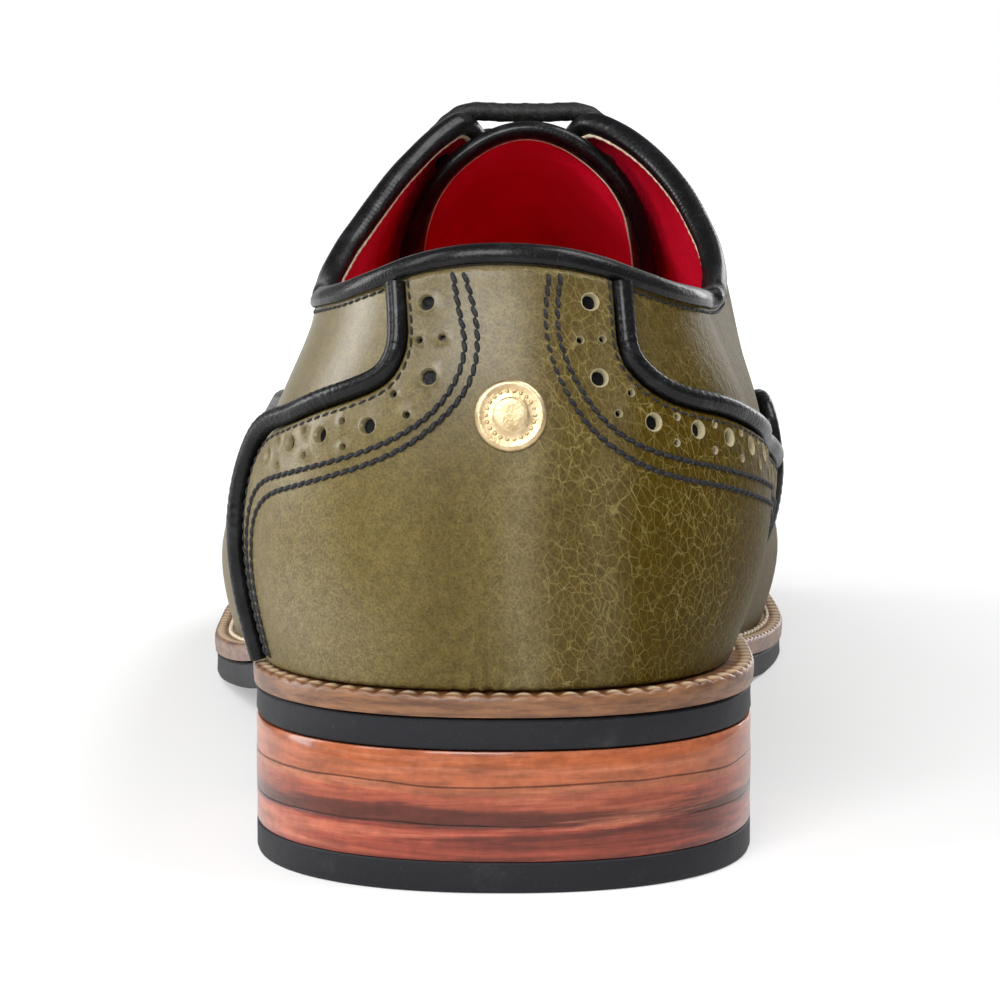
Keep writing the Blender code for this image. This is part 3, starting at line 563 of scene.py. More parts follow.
class Finish(Graph):
    def __init__(self, name, colour, roughness, constants):
        self.material = bpy.data.materials.new(name)
        self.material.use_nodes = True
        super().__init__(self.material.node_tree)
        self.shader = self.tree.nodes["Principled BSDF"]
        self.material.diffuse_color = (*colour, 1.0)
        self.set("Base Color", (*colour, 1.0))
        self.set("Roughness", roughness)
        for socket, value in constants.items():
            self.set(socket, value)
        self.place = self.node("ShaderNodeNewGeometry", {}, {}, "Position")

    def set(self, socket, value):
        if isinstance(value, Wire):
            self.tree.links.new(value.socket, self.shader.inputs[socket])
        else:
            self.shader.inputs[socket].default_value = value

    def noise(self, scale, detail=4.0, roughness=0.55, place=None, distortion=0.0):
        values = {"Vector": place or self.place, "Scale": scale, "Detail": detail, "Roughness": roughness}
        values["Distortion"] = distortion
        return self.node("ShaderNodeTexNoise", {}, values, "Fac")

    def cells(self, scale, feature, place=None, randomness=1.0):
        values = {"Vector": place or self.place, "Scale": scale, "Randomness": randomness}
        return self.node("ShaderNodeTexVoronoi", {"feature": feature}, values, "Distance")

    def vector(self, operation, first, second):
        return self.node("ShaderNodeVectorMath", {"operation": operation}, {0: first, 1: second}, "Vector")

    def stretched(self, x, y, z):
        return self.vector("MULTIPLY", self.place, (x, y, z))

    def warped(self, scale, amount):  # the place, pushed about by noise
        values = {"Vector": self.place, "Scale": scale, "Detail": 2.0}
        push = self.node("ShaderNodeTexNoise", {}, values, "Color")
        centred = self.vector("SUBTRACT", push, (0.5, 0.5, 0.5))
        return self.vector("ADD", self.place, self.vector("MULTIPLY", centred, (amount, amount, amount)))

    def grey(self, value):
        return self.node("ShaderNodeCombineColor", {}, {0: value, 1: value, 2: value})

    def axis(self, name):
        return self.node("ShaderNodeSeparateXYZ", {}, {0: self.place}, name)

    def mark(self, name):  # a value kept on the mesh's points
        return self.node("ShaderNodeAttribute", {"attribute_name": name}, {}, "Fac")

    def mix(self, share, first, second, blend="MIX"):
        first = first if isinstance(first, Wire) else (*first, 1.0)
        second = second if isinstance(second, Wire) else (*second, 1.0)
        settings = {"data_type": "RGBA", "blend_type": blend}
        return self.node("ShaderNodeMix", settings, {0: share, 6: first, 7: second}, 2)

    def bump(self, height, depth, strength=1.0):
        values = {"Height": height, "Distance": depth * mm, "Strength": strength}
        self.set("Normal", self.node("ShaderNodeBump", {}, values, "Normal"))


# Finishes

oliveLook = {
    # deep is a burnished tone that also carries painted shade on the medial side and in one painted shade
    # band; light is a random lighter tone that also makes the painted highlight bands
    "light": (0.155, 0.124, 0.066), "mid": (0.108, 0.080, 0.024), "deep": (0.052, 0.032, 0.0018),
    # rim: the pale ring round each hole, the punched edge's paler leather with a painted highlight
    "crack": (0.200, 0.163, 0.055), "rim": (0.44, 0.39, 0.25),
    # size of a cell in each direction, and how far it leans
    "net": (1.15, 1.15, 2.5, 0.55), "veins": (1.9, 1.9, 5.2, -0.40),
    "grainSize": 0.34, "mottleSize": 1.5, "sheenFrom": 46.0, "sheenTo": 72.0,
    # upright painted highlight and shade bands at the back as place, width, share and tone
    "streaks": ((4.5, 5.5, 0.55, "light"), (-6.5, 7.0, 0.40, "deep"), (17.0, 5.0, 0.22, "light")),
}


def oliveLeather(name, burnishShadeFrom, burnishShadeTo, crackLevel=1.0, rims=False, streaks=()):
    look = oliveLook
    made = Finish(name, look["mid"], 0.42, {"Specular IOR Level": 0.05, "Coat Roughness": 0.38})
    cloud = made.noise(36.0, 1.0)
    mottle = made.noise(1000.0 / look["mottleSize"], 1.0, 0.65)
    grain = made.noise(1000.0 / look["grainSize"], 1.0, 0.6)
    side = made.axis("X") / mm
    # painted shade: the leather turns deeper and browner towards the medial side (X), partly its own
    # burnished tone and partly painted shade; the coat is taken off there too
    burnishAndShade = (side + (cloud - 0.5) * 26.0).ramp(burnishShadeFrom, burnishShadeTo)
    colour = made.mix(cloud.ramp(0.3, 0.7), look["mid"], look["light"])
    colour = made.mix(burnishAndShade, colour, look["deep"])
    # painted highlight and shade: lighter and darker upright bands down the back
    for spot, width, share, tone in streaks:
        band = (side - spot + (cloud - 0.5) * 9.0).size().ramp(0.0, width, share, 0.0)
        colour = made.mix(band, colour, look[tone])
    shade = mottle.ramp(0.25, 0.75, 0.88, 1.12) * grain.ramp(0.25, 0.75, 0.74, 1.26)
    colour = made.mix(1.0, colour, made.grey(shade), "MULTIPLY")
    # hairline craze: a net and long veins that lean across it, stronger towards the medial side, where the
    # leather is burnished and carries painted shade
    warp = made.warped(300.0, 0.0009)

    def craze(size, width):
        squeeze = tuple(1.0 / length for length in size[:3])
        values = {"Vector": warp, "Angle": size[3]}
        leant = made.node("ShaderNodeVectorRotate", {"rotation_type": "Y_AXIS"}, values)
        flat = made.vector("MULTIPLY", leant, squeeze)
        return made.cells(1000.0, "DISTANCE_TO_EDGE", flat).ramp(0.0, width, 1.0, 0.0)

    patch = made.noise(110.0, 1.0).ramp(0.34, 0.62)
    level = (patch * 0.45 + 0.42) * burnishAndShade.ramp(0.0, 0.7, 0.3, 1.0)
    cracks = (craze(look["net"], 0.070) * 0.62 + craze(look["veins"], 0.034) * 0.55).ramp(0.0, 1.0) * level
    colour = made.mix(cracks * crackLevel, colour, look["crack"])
    height = grain * 0.6 + mottle
    gloss = 0.40 + mottle * 0.16 + cracks * 0.1
    if rims:
        # painted highlight round each hole: a pale ring, partly the punched edge's own paler leather
        rim = made.mark("rim")
        colour = made.mix(rim.ramp(0.35, 0.95) * (burnishAndShade * 0.5 + 0.25), colour, look["rim"])
    made.set("Base Color", colour)
    made.set("Roughness", gloss)
    high = (made.axis("Z") / mm).ramp(look["sheenFrom"], look["sheenTo"])
    made.set("Coat Weight", (1.0 - burnishAndShade) * (0.2 + high * 0.8))
    made.bump(height, 0.15)
    return made.material


def blackLeather(name, grainSize=0.5):
    made = Finish(name, (0.010, 0.010, 0.012), 0.38, {"Specular IOR Level": 0.13, "Coat Roughness": 0.18})
    grain = made.noise(1000.0 / grainSize, 1.0)
    wear = made.noise(260.0, 2.0, 0.65)
    colour = made.mix(wear.ramp(0.5, 0.8) * 0.5, (0.0020, 0.0020, 0.0026), (0.018, 0.019, 0.022))
    made.set("Base Color", colour)
    made.set("Roughness", 0.30 + grain * 0.22)
    made.set("Coat Weight", 0.03 + wear * 0.36)
    made.bump(grain + wear * 0.8, 0.13)
    return made.material


def redLining(name):
    made = Finish(name, (0.56, 0.004, 0.014), 0.6, {"Specular IOR Level": 0.2})
    cloud = made.noise(55.0, 3.0)
    nap = made.noise(1500.0, 2.0, 0.6)
    colour = made.mix(cloud.ramp(0.3, 0.7), (0.60, 0.002, 0.026), (0.78, 0.005, 0.038))
    made.set("Base Color", made.mix(nap.ramp(0.55, 0.8) * 0.35, colour, (0.78, 0.05, 0.06)))
    made.set("Roughness", 0.52 + nap * 0.2)
    made.bump(nap + cloud, 0.10)
    return made.material


def thread(name, colour, pale):
    made = Finish(name, colour, 0.55, {"Specular IOR Level": 0.2})
    fibre = made.noise(3200.0, 2.0)
    made.set("Base Color", made.mix(fibre.ramp(0.4, 0.7), colour, pale))
    made.set("Roughness", 0.45 + fibre * 0.25)
    made.bump(fibre, 0.06)
    return made.material


def rubber(name, tread=False):
    made = Finish(name, (0.008, 0.009, 0.012), 0.6, {"Specular IOR Level": 0.3})
    speck = made.noise(2100.0, 2.0)
    scuff = made.noise(130.0, 5.0, 0.7)
    dust = speck.ramp(0.62, 0.75) * 0.25 + scuff.ramp(0.55, 0.8) * 0.35
    made.set("Base Color", made.mix(dust, (0.0070, 0.0075, 0.0105), (0.055, 0.055, 0.060)))
    made.set("Roughness", 0.52 + scuff * 0.2)
    height = speck * 0.4 + scuff * 0.5
    if tread:  # small studs, underneath only
        across, along = made.axis("X"), made.axis("Y")
        studs = ((across + along) * 900.0).sine() * ((across - along) * 900.0).sine()
        facing = made.node("ShaderNodeNewGeometry", {}, {}, "True Normal")
        down = made.node("ShaderNodeSeparateXYZ", {}, {0: facing}, "Z")
        height = height + studs.ramp(-0.2, 0.5) * down.ramp(-0.9, -0.6, 1.0, 0.0) * 9.0
    made.bump(height, 0.08)
    return made.material


def weltLeather(name):
    made = Finish(name, (0.19, 0.085, 0.036), 0.45, {"Coat Roughness": 0.3})
    streak = made.noise(150.0, 5.0, 0.65, made.stretched(1.0, 1.0, 7.0))
    fibre = made.noise(900.0, 3.0, 0.6)
    colour = made.mix(streak.ramp(0.32, 0.7), (0.085, 0.031, 0.010), (0.215, 0.090, 0.032))
    # pale lobe tops: the cut edge's paler leather with a painted highlight on each lobe
    ridge = made.mark("ridge")
    colour = made.mix(ridge.ramp(0.35, 0.95) * 0.8, colour, (0.60, 0.46, 0.30))
    made.set("Base Color", made.mix(fibre.ramp(0.6, 0.8) * 0.4, colour, (0.30, 0.16, 0.075)))
    made.set("Roughness", 0.36 + fibre * 0.2)
    made.set("Coat Weight", streak * 0.35)
    made.bump(fibre * 0.6 + streak, 0.10)
    return made.material


stackLook = {
    "seams": (9.2, 13.4, 14.6),  # heights at which one layer ends and the next begins
    "low": (0.290, 0.054, 0.030), "middle": (0.290, 0.064, 0.031), "dark": (0.270, 0.078, 0.034),
    "top": (0.30, 0.082, 0.032), "streak": (0.040, 0.009, 0.006), "pale": (0.42, 0.155, 0.085),
}


def stackLeather(name):
    look = stackLook
    made = Finish(name, look["middle"], 0.3, {"Specular IOR Level": 0.15, "Coat Roughness": 0.12})
    wander = made.noise(42.0, 2.0, 0.5, made.stretched(1.0, 1.0, 2.5))
    level = made.axis("Z") / mm + (wander - 0.5) * 1.8
    first, second, third = look["seams"]
    blur = 0.14
    colour = made.mix(level.ramp(first - blur, first + blur), look["low"], look["middle"])
    colour = made.mix(level.ramp(second - blur, second + blur), colour, look["dark"])
    colour = made.mix(level.ramp(third - blur, third + blur), colour, look["top"])
    # dark dye gathers in long level streaks under the top layer
    streak = made.noise(30.0, 5.0, 0.66, made.stretched(0.7, 0.7, 14.0), 0.4)
    fibres = made.noise(260.0, 3.0, 0.6, made.stretched(0.5, 0.5, 3.2))
    mottle = made.noise(620.0, 3.0, 0.65)
    under = level.ramp(third - 2.2, third - 1.2, 1.0, 0.0)
    sink = (level - first - 0.6).size().ramp(0.0, 1.6, 1.0, 0.0)
    dye = (streak + fibres * 0.35 + sink * 0.18).ramp(0.60, 0.86)
    colour = made.mix(dye * under * 0.85, colour, look["streak"])
    colour = made.mix(streak.ramp(0.36, 0.5, 1.0, 0.0) * 0.5, colour, look["pale"])
    shade = mottle.ramp(0.25, 0.75, 0.86, 1.14) * fibres.ramp(0.25, 0.75, 0.72, 1.28)
    colour = made.mix(1.0, colour, made.grey(shade), "MULTIPLY")
    grooves = [(level - seam).size().ramp(0.0, 0.24, 1.0, 0.0) for seam in (first, third)]
    groove = (grooves[0] * streak.ramp(0.4, 0.6) + grooves[1]).ramp(0.0, 1.0)
    made.set("Base Color", made.mix(groove * 0.7, colour, (0.022, 0.008, 0.005)))
    made.set("Roughness", 0.26 + mottle * 0.16)
    made.set("Coat Weight", 0.40 - groove * 0.40)
    made.bump(mottle * 0.5 + fibres * 0.4 - groove * 1.2, 0.08)
    return made.material


def brushedBrass(name):
    made = Finish(name, (0.80, 0.56, 0.25), 0.3, {"Metallic": 1.0})
    cloud = made.noise(600.0, 3.0)
    made.set("Base Color", made.mix(cloud.ramp(0.35, 0.7), (0.50, 0.37, 0.20), (0.66, 0.53, 0.33)))
    made.set("Roughness", 0.32 + cloud * 0.2)
    made.bump(cloud + made.noise(2200.0, 2.0) * 0.6, 0.07)
    return made.material


def laceCord(name):
    made = Finish(name, (0.011, 0.011, 0.012), 0.5, {"Specular IOR Level": 0.3})
    fibre = made.noise(2600.0, 3.0)
    made.set("Base Color", made.mix(fibre.ramp(0.45, 0.75), (0.004, 0.004, 0.005), (0.032, 0.031, 0.033)))
    made.set("Roughness", 0.42 + fibre * 0.25)
    made.bump(fibre, 0.07)
    return made.material


finishes = {
    # the two numbers for each olive leather: where burnish with painted shade begins and where it is full,
    # in mm across towards the medial side
    "upper": oliveLeather("quarter_olive", -4.0, 34.0, 0.7),
    "counter": oliveLeather("counter_olive", -16.0, 26.0, 1.0, True, oliveLook["streaks"]),
    "wing": oliveLeather("wing_olive", 10.0, 60.0, 0.8, True),
    "tongue": oliveLeather("tongue_olive", 20.0, 60.0, 0.6),
    "piping": blackLeather("piping_black"),
    "binding": blackLeather("binding_black", 0.4),
    # black leather for the painted shade under the holes
    "backing": blackLeather("hole_shade_black", 0.7),
    "lining": redLining("lining_red"),
    "sock": redLining("sock_red"),
    "blackThread": thread("thread_black", (0.008, 0.008, 0.009), (0.03, 0.03, 0.032)),
    "creamThread": thread("thread_cream", (0.56, 0.45, 0.31), (0.78, 0.69, 0.55)),
    "outsole": rubber("outsole_black", True),
    "topLift": rubber("top_lift_black", True),
    "welt": weltLeather("welt_brown"),
    "stack": stackLeather("stack_red_brown"),
    "brass": brushedBrass("stud_brass"),
    "lace": laceCord("lace_black"),
}
print("finishes ready:", len(finishes))


# Upper: olive outside, red inside

upperSizes = {"wall": 2.0, "columnStride": 2, "rowStride": 2}


def makeUpper():
    points, faces, finishOf = [], [], []
    start = 0
    for side in sideSign:
        skin = skins[side]
        columns = np.unique(np.append(skin["index"][::upperSizes["columnStride"]], skin["index"][-1]))
        rows = np.arange(0, form["rows"], upperSizes["rowStride"])
        outer = skin["points"][columns][:, rows]
        inner = outer - skin["normals"][columns][:, rows] * upperSizes["wall"]
        grid = gridFaces(len(columns), len(rows))
        size = outer.shape[0] * outer.shape[1]
        throat = skin["places"][columns] <= placeOf(form["throat"])
        rim = []
        for row, bare in ((0, np.ones(len(columns), bool)), (len(rows) - 1, throat)):
            for i in range(len(columns) - 1):
                if bare[i] and bare[i + 1]:
                    a, b = i * len(rows) + row, (i + 1) * len(rows) + row
                    rim.append([a, b, b + size, a + size])
        points += [outer.reshape(-1, 3), inner.reshape(-1, 3)]
        for block, offset, finish in ((grid, 0, 0), (grid, size, 1), (rim, 0, 2)):
            faces += [[corner + offset + start for corner in face] for face in block]
            finishOf += [finish] * len(block)
        start += 2 * size
    looks = ["upper", "lining", "binding"]
    points = np.concatenate(points)
    addPiece("upper_shell", points, faces, looks, "olive_leather", ["upper"], finishOf, weld=0.02)


# Counter: the heel panel with its holes and rows of stitches; its piping is made further down

counterSizes = {
    "front": 75.0, "turn": (16.0, 9.0, 0.8), "foot": 0.0, "collarGap": 2.1,
    "low": 0.35, "thick": 1.15, "hem": 0.9,
    "edgeOut": (
        (15.6, 54.6), (14.3, 49.0), (14.0, 45.4), (15.6, 41.4), (20.4, 38.6), (27.2, 36.5), (36.0, 33.8),
        (40.6, 32.3), (43.8, 30.0), (45.7, 26.8), (46.5, 22.4),
    ),
    "edgeIn": (
        (18.0, 54.6), (17.6, 48.6), (17.7, 44.4), (21.2, 39.8), (26.6, 37.2), (34.2, 35.6), (45.6, 32.7),
        (60.0, 29.6), (76.0, 27.2), (98.0, 25.5),
    ),
    # large holes as around and up; two small ones stand across the band between each pair
    "holesOut": ((11.2, 51.5), (10.0, 41.5), (18.4, 34.8), (26.3, 33.2), (32.6, 31.6), (38.6, 29.4)),
    "holesIn": (
        (13.5, 51.6), (13.8, 41.3), (21.2, 35.3), (28.6, 34.0), (35.1, 32.6), (41.6, 31.0), (48.1, 29.6),
        (54.6, 28.1), (61.1, 26.6), (67.6, 25.6), (74.1, 24.7), (80.6, 23.9), (87.1, 23.3),
    ),
    # broad upright folds as place, width, lower and upper end, height
    "folds": ((4.0, 5.5, 4.0, 58.0, 0.32), (-8.0, 6.5, 4.0, 44.0, -0.28), (16.0, 6.0, 2.0, 34.0, -0.22)),
    "bigHole": 1.0, "smallHole": 0.45, "smallApart": 1.7, "smallShift": -0.5,
    "rowsOut": (
        ((7.3, 55.6), (5.9, 49.7), (5.1, 45.8), (6.2, 41.0), (9.5, 36.6), (15.5, 32.7), (23.7, 29.8),
         (34.9, 27.0), (39.0, 25.7), (41.8, 23.4), (43.2, 19.6), (43.9, 14.0), (44.0, 8.0), (44.0, 1.5)),
        ((5.6, 55.6), (4.0, 50.9), (3.3, 46.6), (4.2, 41.0), (7.9, 36.0), (13.2, 32.0), (21.4, 28.6),
         (32.3, 25.6), (37.0, 24.0), (39.8, 21.6), (41.2, 17.8), (41.9, 12.6), (42.0, 7.0), (42.0, 1.5)),
    ),
    "rowsIn": (
        ((9.2, 55.4), (8.4, 47.2), (10.7, 40.5), (14.7, 35.1), (18.8, 32.4), (25.2, 30.3), (34.1, 28.4),
         (48.4, 25.4), (64.0, 22.8), (78.0, 21.0), (88.0, 19.0), (92.4, 15.0), (93.6, 9.0), (93.6, 1.5)),
        ((7.4, 55.4), (6.6, 47.3), (8.5, 40.6), (12.0, 35.0), (16.2, 31.4), (22.4, 28.6), (32.4, 26.4),
         (46.4, 23.4), (62.0, 20.9), (76.0, 19.0), (86.0, 17.6)),
    ),
    # lasting wrinkles above the welt: across, slant, length, width, depth
    "wrinkles": (
        (-3.6, 0.15, 7.0, 0.42, 0.34), (-1.4, -0.10, 9.0, 0.50, 0.42), (0.5, 0.05, 6.5, 0.38, 0.30),
        (-6.4, 0.28, 5.0, 0.55, 0.22), (3.4, -0.22, 5.5, 0.50, 0.22), (6.0, -0.3, 4.0, 0.6, 0.15),
    ),
}
blackStitch = {"pitch": 1.55, "length": 1.95, "radius": 0.35, "slant": 0.22}
edgeStitch = {"pitch": 1.6, "length": 1.5, "radius": 0.20, "slant": 0.1}
panelCut = {
    "step": 1.35, "bigSides": 22, "smallSides": 14, "bigFrom": 0.8, "rimShare": 1.2,
    "hemInsets": (0.4, 0.9), "holeSink": 0.28, "rimRise": 0.10,
    "backEdge": 0.5, "backLifts": (0.5, 0.1), "backSides": 12,
}


def counterEdge(side):  # from the collar; the lateral edge turns down to the welt
    edge = evenLine(counterSizes["edge" + side], 1.1, True)
    if side == "Out":
        edge = np.concatenate([edge, [(edge[-1, 0], up) for up in counterSizes["turn"]]])
    return edge


def bandHoles(big, sizes):  # large holes, and a pair of small ones across the band between them
    big = np.asarray(big, float)
    holes = [(x, y, sizes["bigHole"]) for x, y in big]
    for first, second in zip(big[:-1], big[1:]):
        middle, run = 0.5 * (first + second), unit(second - first)
        for share in (-1.0, 1.0):
            aside = sizes["smallShift"] + share * sizes["smallApart"]
            x, y = middle + aside * np.array([-run[1], run[0]])
            holes.append((x, y, sizes["smallHole"]))
    return holes


def stretchOf(place, least):  # true millimetres for a step around and a step up
    small = 0.2

    def stretch(points):
        around, up = points.T
        base = place(around, up)[0]
        wide = np.linalg.norm(place(around + small, up)[0] - base, axis=1) / small
        tall = np.linalg.norm(place(around, up + small)[0] - base, axis=1) / small
        return np.maximum(np.stack([wide, tall], 1), least)

    return stretch


def wrinkleDepth(across, up):
    depth = np.zeros(len(across))
    for x, slant, length, width, deep in counterSizes["wrinkles"]:
        bend = across - x - slant * up
        fade = np.exp(-(up / length) ** 2)
        ridges = np.exp(-((np.abs(bend) - 2.1 * width) / width) ** 2)
        depth += fade * deep * (np.exp(-(bend / width) ** 2) - 0.55 * ridges)
    for x, width, low, high, rise in counterSizes["folds"]:
        fade = softStep(up, low, low + 12.0) * (1.0 - softStep(up, high - 12.0, high))
        depth -= rise * fade * np.exp(-((across - x) / width) ** 2)
    return depth


def hemLift(depth, sizes):  # a turned edge
    t = np.clip(depth / sizes["hem"], 0.0, 1.0)
    return sizes["low"] + sizes["thick"] * (0.45 + 0.55 * np.sqrt(1.0 - (1.0 - t) ** 2))


def panelLift(depth, rim, sizes):  # a turned edge, sunk holes and a low rim round each
    lift = hemLift(depth, sizes) - np.where(rim >= 0.95, panelCut["holeSink"], 0.0)
    return lift + np.where((rim > 0.5) & (rim < 0.95), panelCut["rimRise"], 0.0)


def holeShadeDiscs(holes, place, scale):  # painted shade: dark discs behind the holes stand in for the shade inside them
    sides = panelCut["backSides"]
    turns = np.arange(sides) * 2 * math.pi / sides
    faces = gridFaces(2, sides, False, True) + [list(range(sides)), list(range(sides, 2 * sides))]
    discs = []
    for (x, y, radius), (wide, tall) in zip(holes, scale):
        reach = radius + panelCut["backEdge"]
        around, up = x + reach / wide * np.cos(turns), y + reach / tall * np.sin(turns)
        rings = [place(around, up, np.full(sides, lift))[0] for lift in panelCut["backLifts"]]
        discs.append((np.concatenate(rings), faces))
    return discs


def sewRow(side, line, lift, look):
    return stitchRow(*onSkin(side, line[:, 0], line[:, 1], np.full(len(line), lift)), look)


def makeCounter():
    sizes = counterSizes
    lines = {}
    for side in sideSign:
        line = counterEdge(side)
        if side == "In":
            front = float(aroundOf(side, sizes["front"]))
            line = line[line[:, 0] < front - 0.3]
            line = np.concatenate([line, [[front, line[-1, 1] - 0.2]]])
        lines[side] = evenLine(line, 1.1)
    outFront, inFront = -lines["Out"][-1, 0], lines["In"][-1, 0]
    foot = np.stack([np.linspace(outFront, inFront, 150), np.full(150, sizes["foot"])], 1)
    rise = np.linspace(sizes["foot"], lines["In"][-1, 1], 18)[1:-1]
    inRise = np.stack([np.full(len(rise), inFront), rise], 1)
    topAcross = np.linspace(lines["In"][0, 0], -lines["Out"][0, 0], 30)[1:-1]
    topUp = np.where(topAcross < 0, ribLength("Out", -topAcross), ribLength("In", topAcross))
    top = np.stack([topAcross, topUp - sizes["collarGap"]], 1)
    outLine = lines["Out"] * np.array([-1.0, 1.0])
    line = np.concatenate([foot, inRise, lines["In"][::-1], top, outLine])
    holes = bandHoles(sizes["holesIn"], sizes)
    holes += [(-x, y, radius) for x, y, radius in bandHoles(sizes["holesOut"], sizes)]
    fold = np.stack(np.meshgrid(np.arange(-9.0, 9.0, 0.45), np.arange(1.2, 10.0, 0.7), indexing="ij"), 2)
    cut = dict(panelCut, extra=fold.reshape(-1, 2))
    flat, triangles, rim, depth = cutPanel(line, holes, cut, stretchOf(onHeel, 0.0))
    across, up = flat[:, 0], flat[:, 1]
    outer = onHeel(across, up, panelLift(depth, rim, sizes) - wrinkleDepth(across, up))[0]
    inner = onHeel(across, up, np.full(len(up), sizes["low"]))[0]
    points, faces = thickPanel(outer, inner, triangles)
    tints = {"rim": np.concatenate([rim, rim])}
    looks = ["counter"]
    addPiece("counter_panel", points, faces, looks, "olive_leather", ["counter"], tints=tints, sharp=60.0)
    # painted shade: dark discs under the holes, where the holes are in shadow
    discs = holeShadeDiscs(holes, onHeel, np.ones((len(holes), 2)))
    addPiece("counter_hole_shade", *joinParts(discs), ["backing"], "black_leather")
    # stitches: two rows round the band and one along the edge
    rows = []
    top = sizes["low"] + sizes["thick"]
    for side in sideSign:
        for row in sizes["rows" + side]:
            rows.append(sewRow(side, evenLine(row, 0.5, True), top, blackStitch))
        line = evenLine(besideLine(counterEdge(side), -0.95), 0.5)
        line = line[(line[:, 0] < aroundOf(side, sizes["front"]) - 1.0) & (line[:, 1] > 1.0)]
        rows.append(sewRow(side, line, top - 0.02, edgeStitch))
    addPiece("counter_stitches", *joinParts(rows), ["blackThread"], "black_leather")


# Wing: toe panel with long tails

wingSizes = {
    "back": 78.0, "front": 208.0, "foot": 0.0, "low": 0.35, "thick": 1.15, "hem": 0.9, "step": 1.9,
    "edge": (
        (78.0, 48.0), (80.5, 55.5), (84.0, 57.0), (94.0, 55.3), (114.0, 49.0), (138.0, 41.6), (160.0, 38.8),
        (178.0, 41.4), (190.0, 48.4), (198.0, 56.0), (208.0, 61.8),
    ),
    "bandIn": 4.0, "holePitch": 9.6, "bigHole": 1.0, "smallHole": 0.45, "smallApart": 1.7,
    "smallShift": -0.4, "rowsIn": (8.0, 9.9), "edgeRow": 1.25,
}


def wingEdge(side):  # from the foot of the tail up and forward to the crest, as around and up
    sizes = wingSizes
    alongs, levels = np.array(sizes["edge"]).T
    along = np.concatenate([np.arange(alongs[0], alongs[-1], 1.0), alongs[-1:]])
    level = steadyLine(alongs, levels, along)
    around = aroundOf(side, along)
    ups = []
    for spot, height in zip(around, level):
        shares = np.linspace(0.0, 1.0, form["rows"])
        length = float(ribLength(side, spot))
        heights = onSkin(side, np.full(form["rows"], spot), shares * length)[0][:, 2]
        ups.append(float(np.interp(height, heights, shares)) * length)
    ups[-1] = float(ribLength(side, around[-1]))
    tailUp = np.arange(sizes["foot"], ups[0], 1.5)
    tail = np.stack([np.full(len(tailUp), around[0]), tailUp], 1)
    return np.concatenate([tail, np.stack([around, ups], 1)])


def makeWing():
    sizes = wingSizes
    parts, rims, backs, rows = [], [], [], []
    top = sizes["low"] + sizes["thick"]
    for side in sideSign:
        skin = skins[side]
        edgeLine = wingEdge(side)
        toe = skin["around"][-1]
        crestAround = np.linspace(float(aroundOf(side, sizes["front"])), toe, 90)
        crest = np.stack([crestAround, ribLength(side, crestAround)], 1)
        toeLine = np.stack([np.full(40, toe), np.linspace(crest[-1, 1], sizes["foot"], 42)[1:-1]], 1)
        footAround = np.linspace(toe, edgeLine[0, 0], 170)
        foot = np.stack([footAround, np.full(170, sizes["foot"])], 1)
        line = np.concatenate([foot, edgeLine[1:], crest[1:], toeLine])
        band = evenLine(besideLine(edgeLine, -sizes["bandIn"])[4:], 0.3)
        keep = (band[:, 1] > 12.0) & (ribLength(side, band[:, 0]) - band[:, 1] > 3.0)
        band = band[keep & (band[:, 0] > edgeLine[0, 0] + 3.0)]
        runs = runLength(onSkin(side, band[:, 0], band[:, 1])[0])
        marks = np.arange(2.0, runs[-1], sizes["holePitch"])
        holes = bandHoles(readAt(marks, runs, band), sizes)
        place = partial(onSkin, side)
        stretch = stretchOf(place, 0.3)
        flat, triangles, rim = cutPanel(line, holes, dict(panelCut, step=sizes["step"]), stretch)[:3]
        hemLine = np.concatenate([edgeLine, edgeLine[::-1]])
        lift = panelLift(lineDistance(flat, hemLine), rim, sizes)
        outer = onSkin(side, flat[:, 0], flat[:, 1], lift)[0]
        inner = onSkin(side, flat[:, 0], flat[:, 1], np.full(len(flat), sizes["low"]))[0]
        # the two halves stay open where they meet along the crest and the toe
        onCrest = flat[:, 1] >= ribLength(side, flat[:, 0]) - 0.01
        onCrest &= flat[:, 0] >= float(aroundOf(side, sizes["front"])) - 0.01
        parts.append(thickPanel(outer, inner, triangles, onCrest | (flat[:, 0] >= toe - 0.01)))
        rims.append(np.concatenate([rim, rim]))
        backs += holeShadeDiscs(holes, place, stretch(np.array([hole[:2] for hole in holes])))
        for inset in sizes["rowsIn"] + (sizes["edgeRow"],):
            row = evenLine(besideLine(edgeLine, -inset), 0.5)
            keep = (row[:, 1] > 1.0) & (ribLength(side, row[:, 0]) - row[:, 1] > 0.3)
            keep &= lineDistance(row, hemLine) > inset - 0.15
            row = evenLine(row[keep & (row[:, 0] > edgeLine[0, 0] + 1.0)], 0.5)
            look = edgeStitch if inset == sizes["edgeRow"] else blackStitch
            rows.append(sewRow(side, row, top, look))
    panel, looks = joinParts(parts), ["wing"]
    tints = {"rim": np.concatenate(rims)}
    addPiece("wing_panel", *panel, looks, "olive_leather", ["wing"], tints=tints, weld=0.02, sharp=60.0)
    # painted shade under the wing's holes, as on the counter
    addPiece("wing_hole_shade", *joinParts(backs), ["backing"], "black_leather")
    addPiece("wing_stitches", *joinParts(rows), ["blackThread"], "black_leather")


# Piping along both panels

pipingSizes = {
    "radius": 1.42, "lift": 1.25, "beside": 1.5, "sides": 12, "ruck": 0.05, "ruckPitch": 1.3,
    # how much further out the wing's piping lies on its tails, by height above the floor
    "lapOut": ((20.0, 0.0), (38.0, -0.2), (46.0, -1.1), (58.0, -1.7)),
    "lapIn": ((20.0, -0.3), (37.0, -0.2), (42.0, 0.2), (49.0, 0.6), (54.0, 0.6), (58.0, 0.6)),
    "lapReach": 14.0, "turnLift": 0.9, "turnFrom": 34.0, "turnTo": 44.0,
}


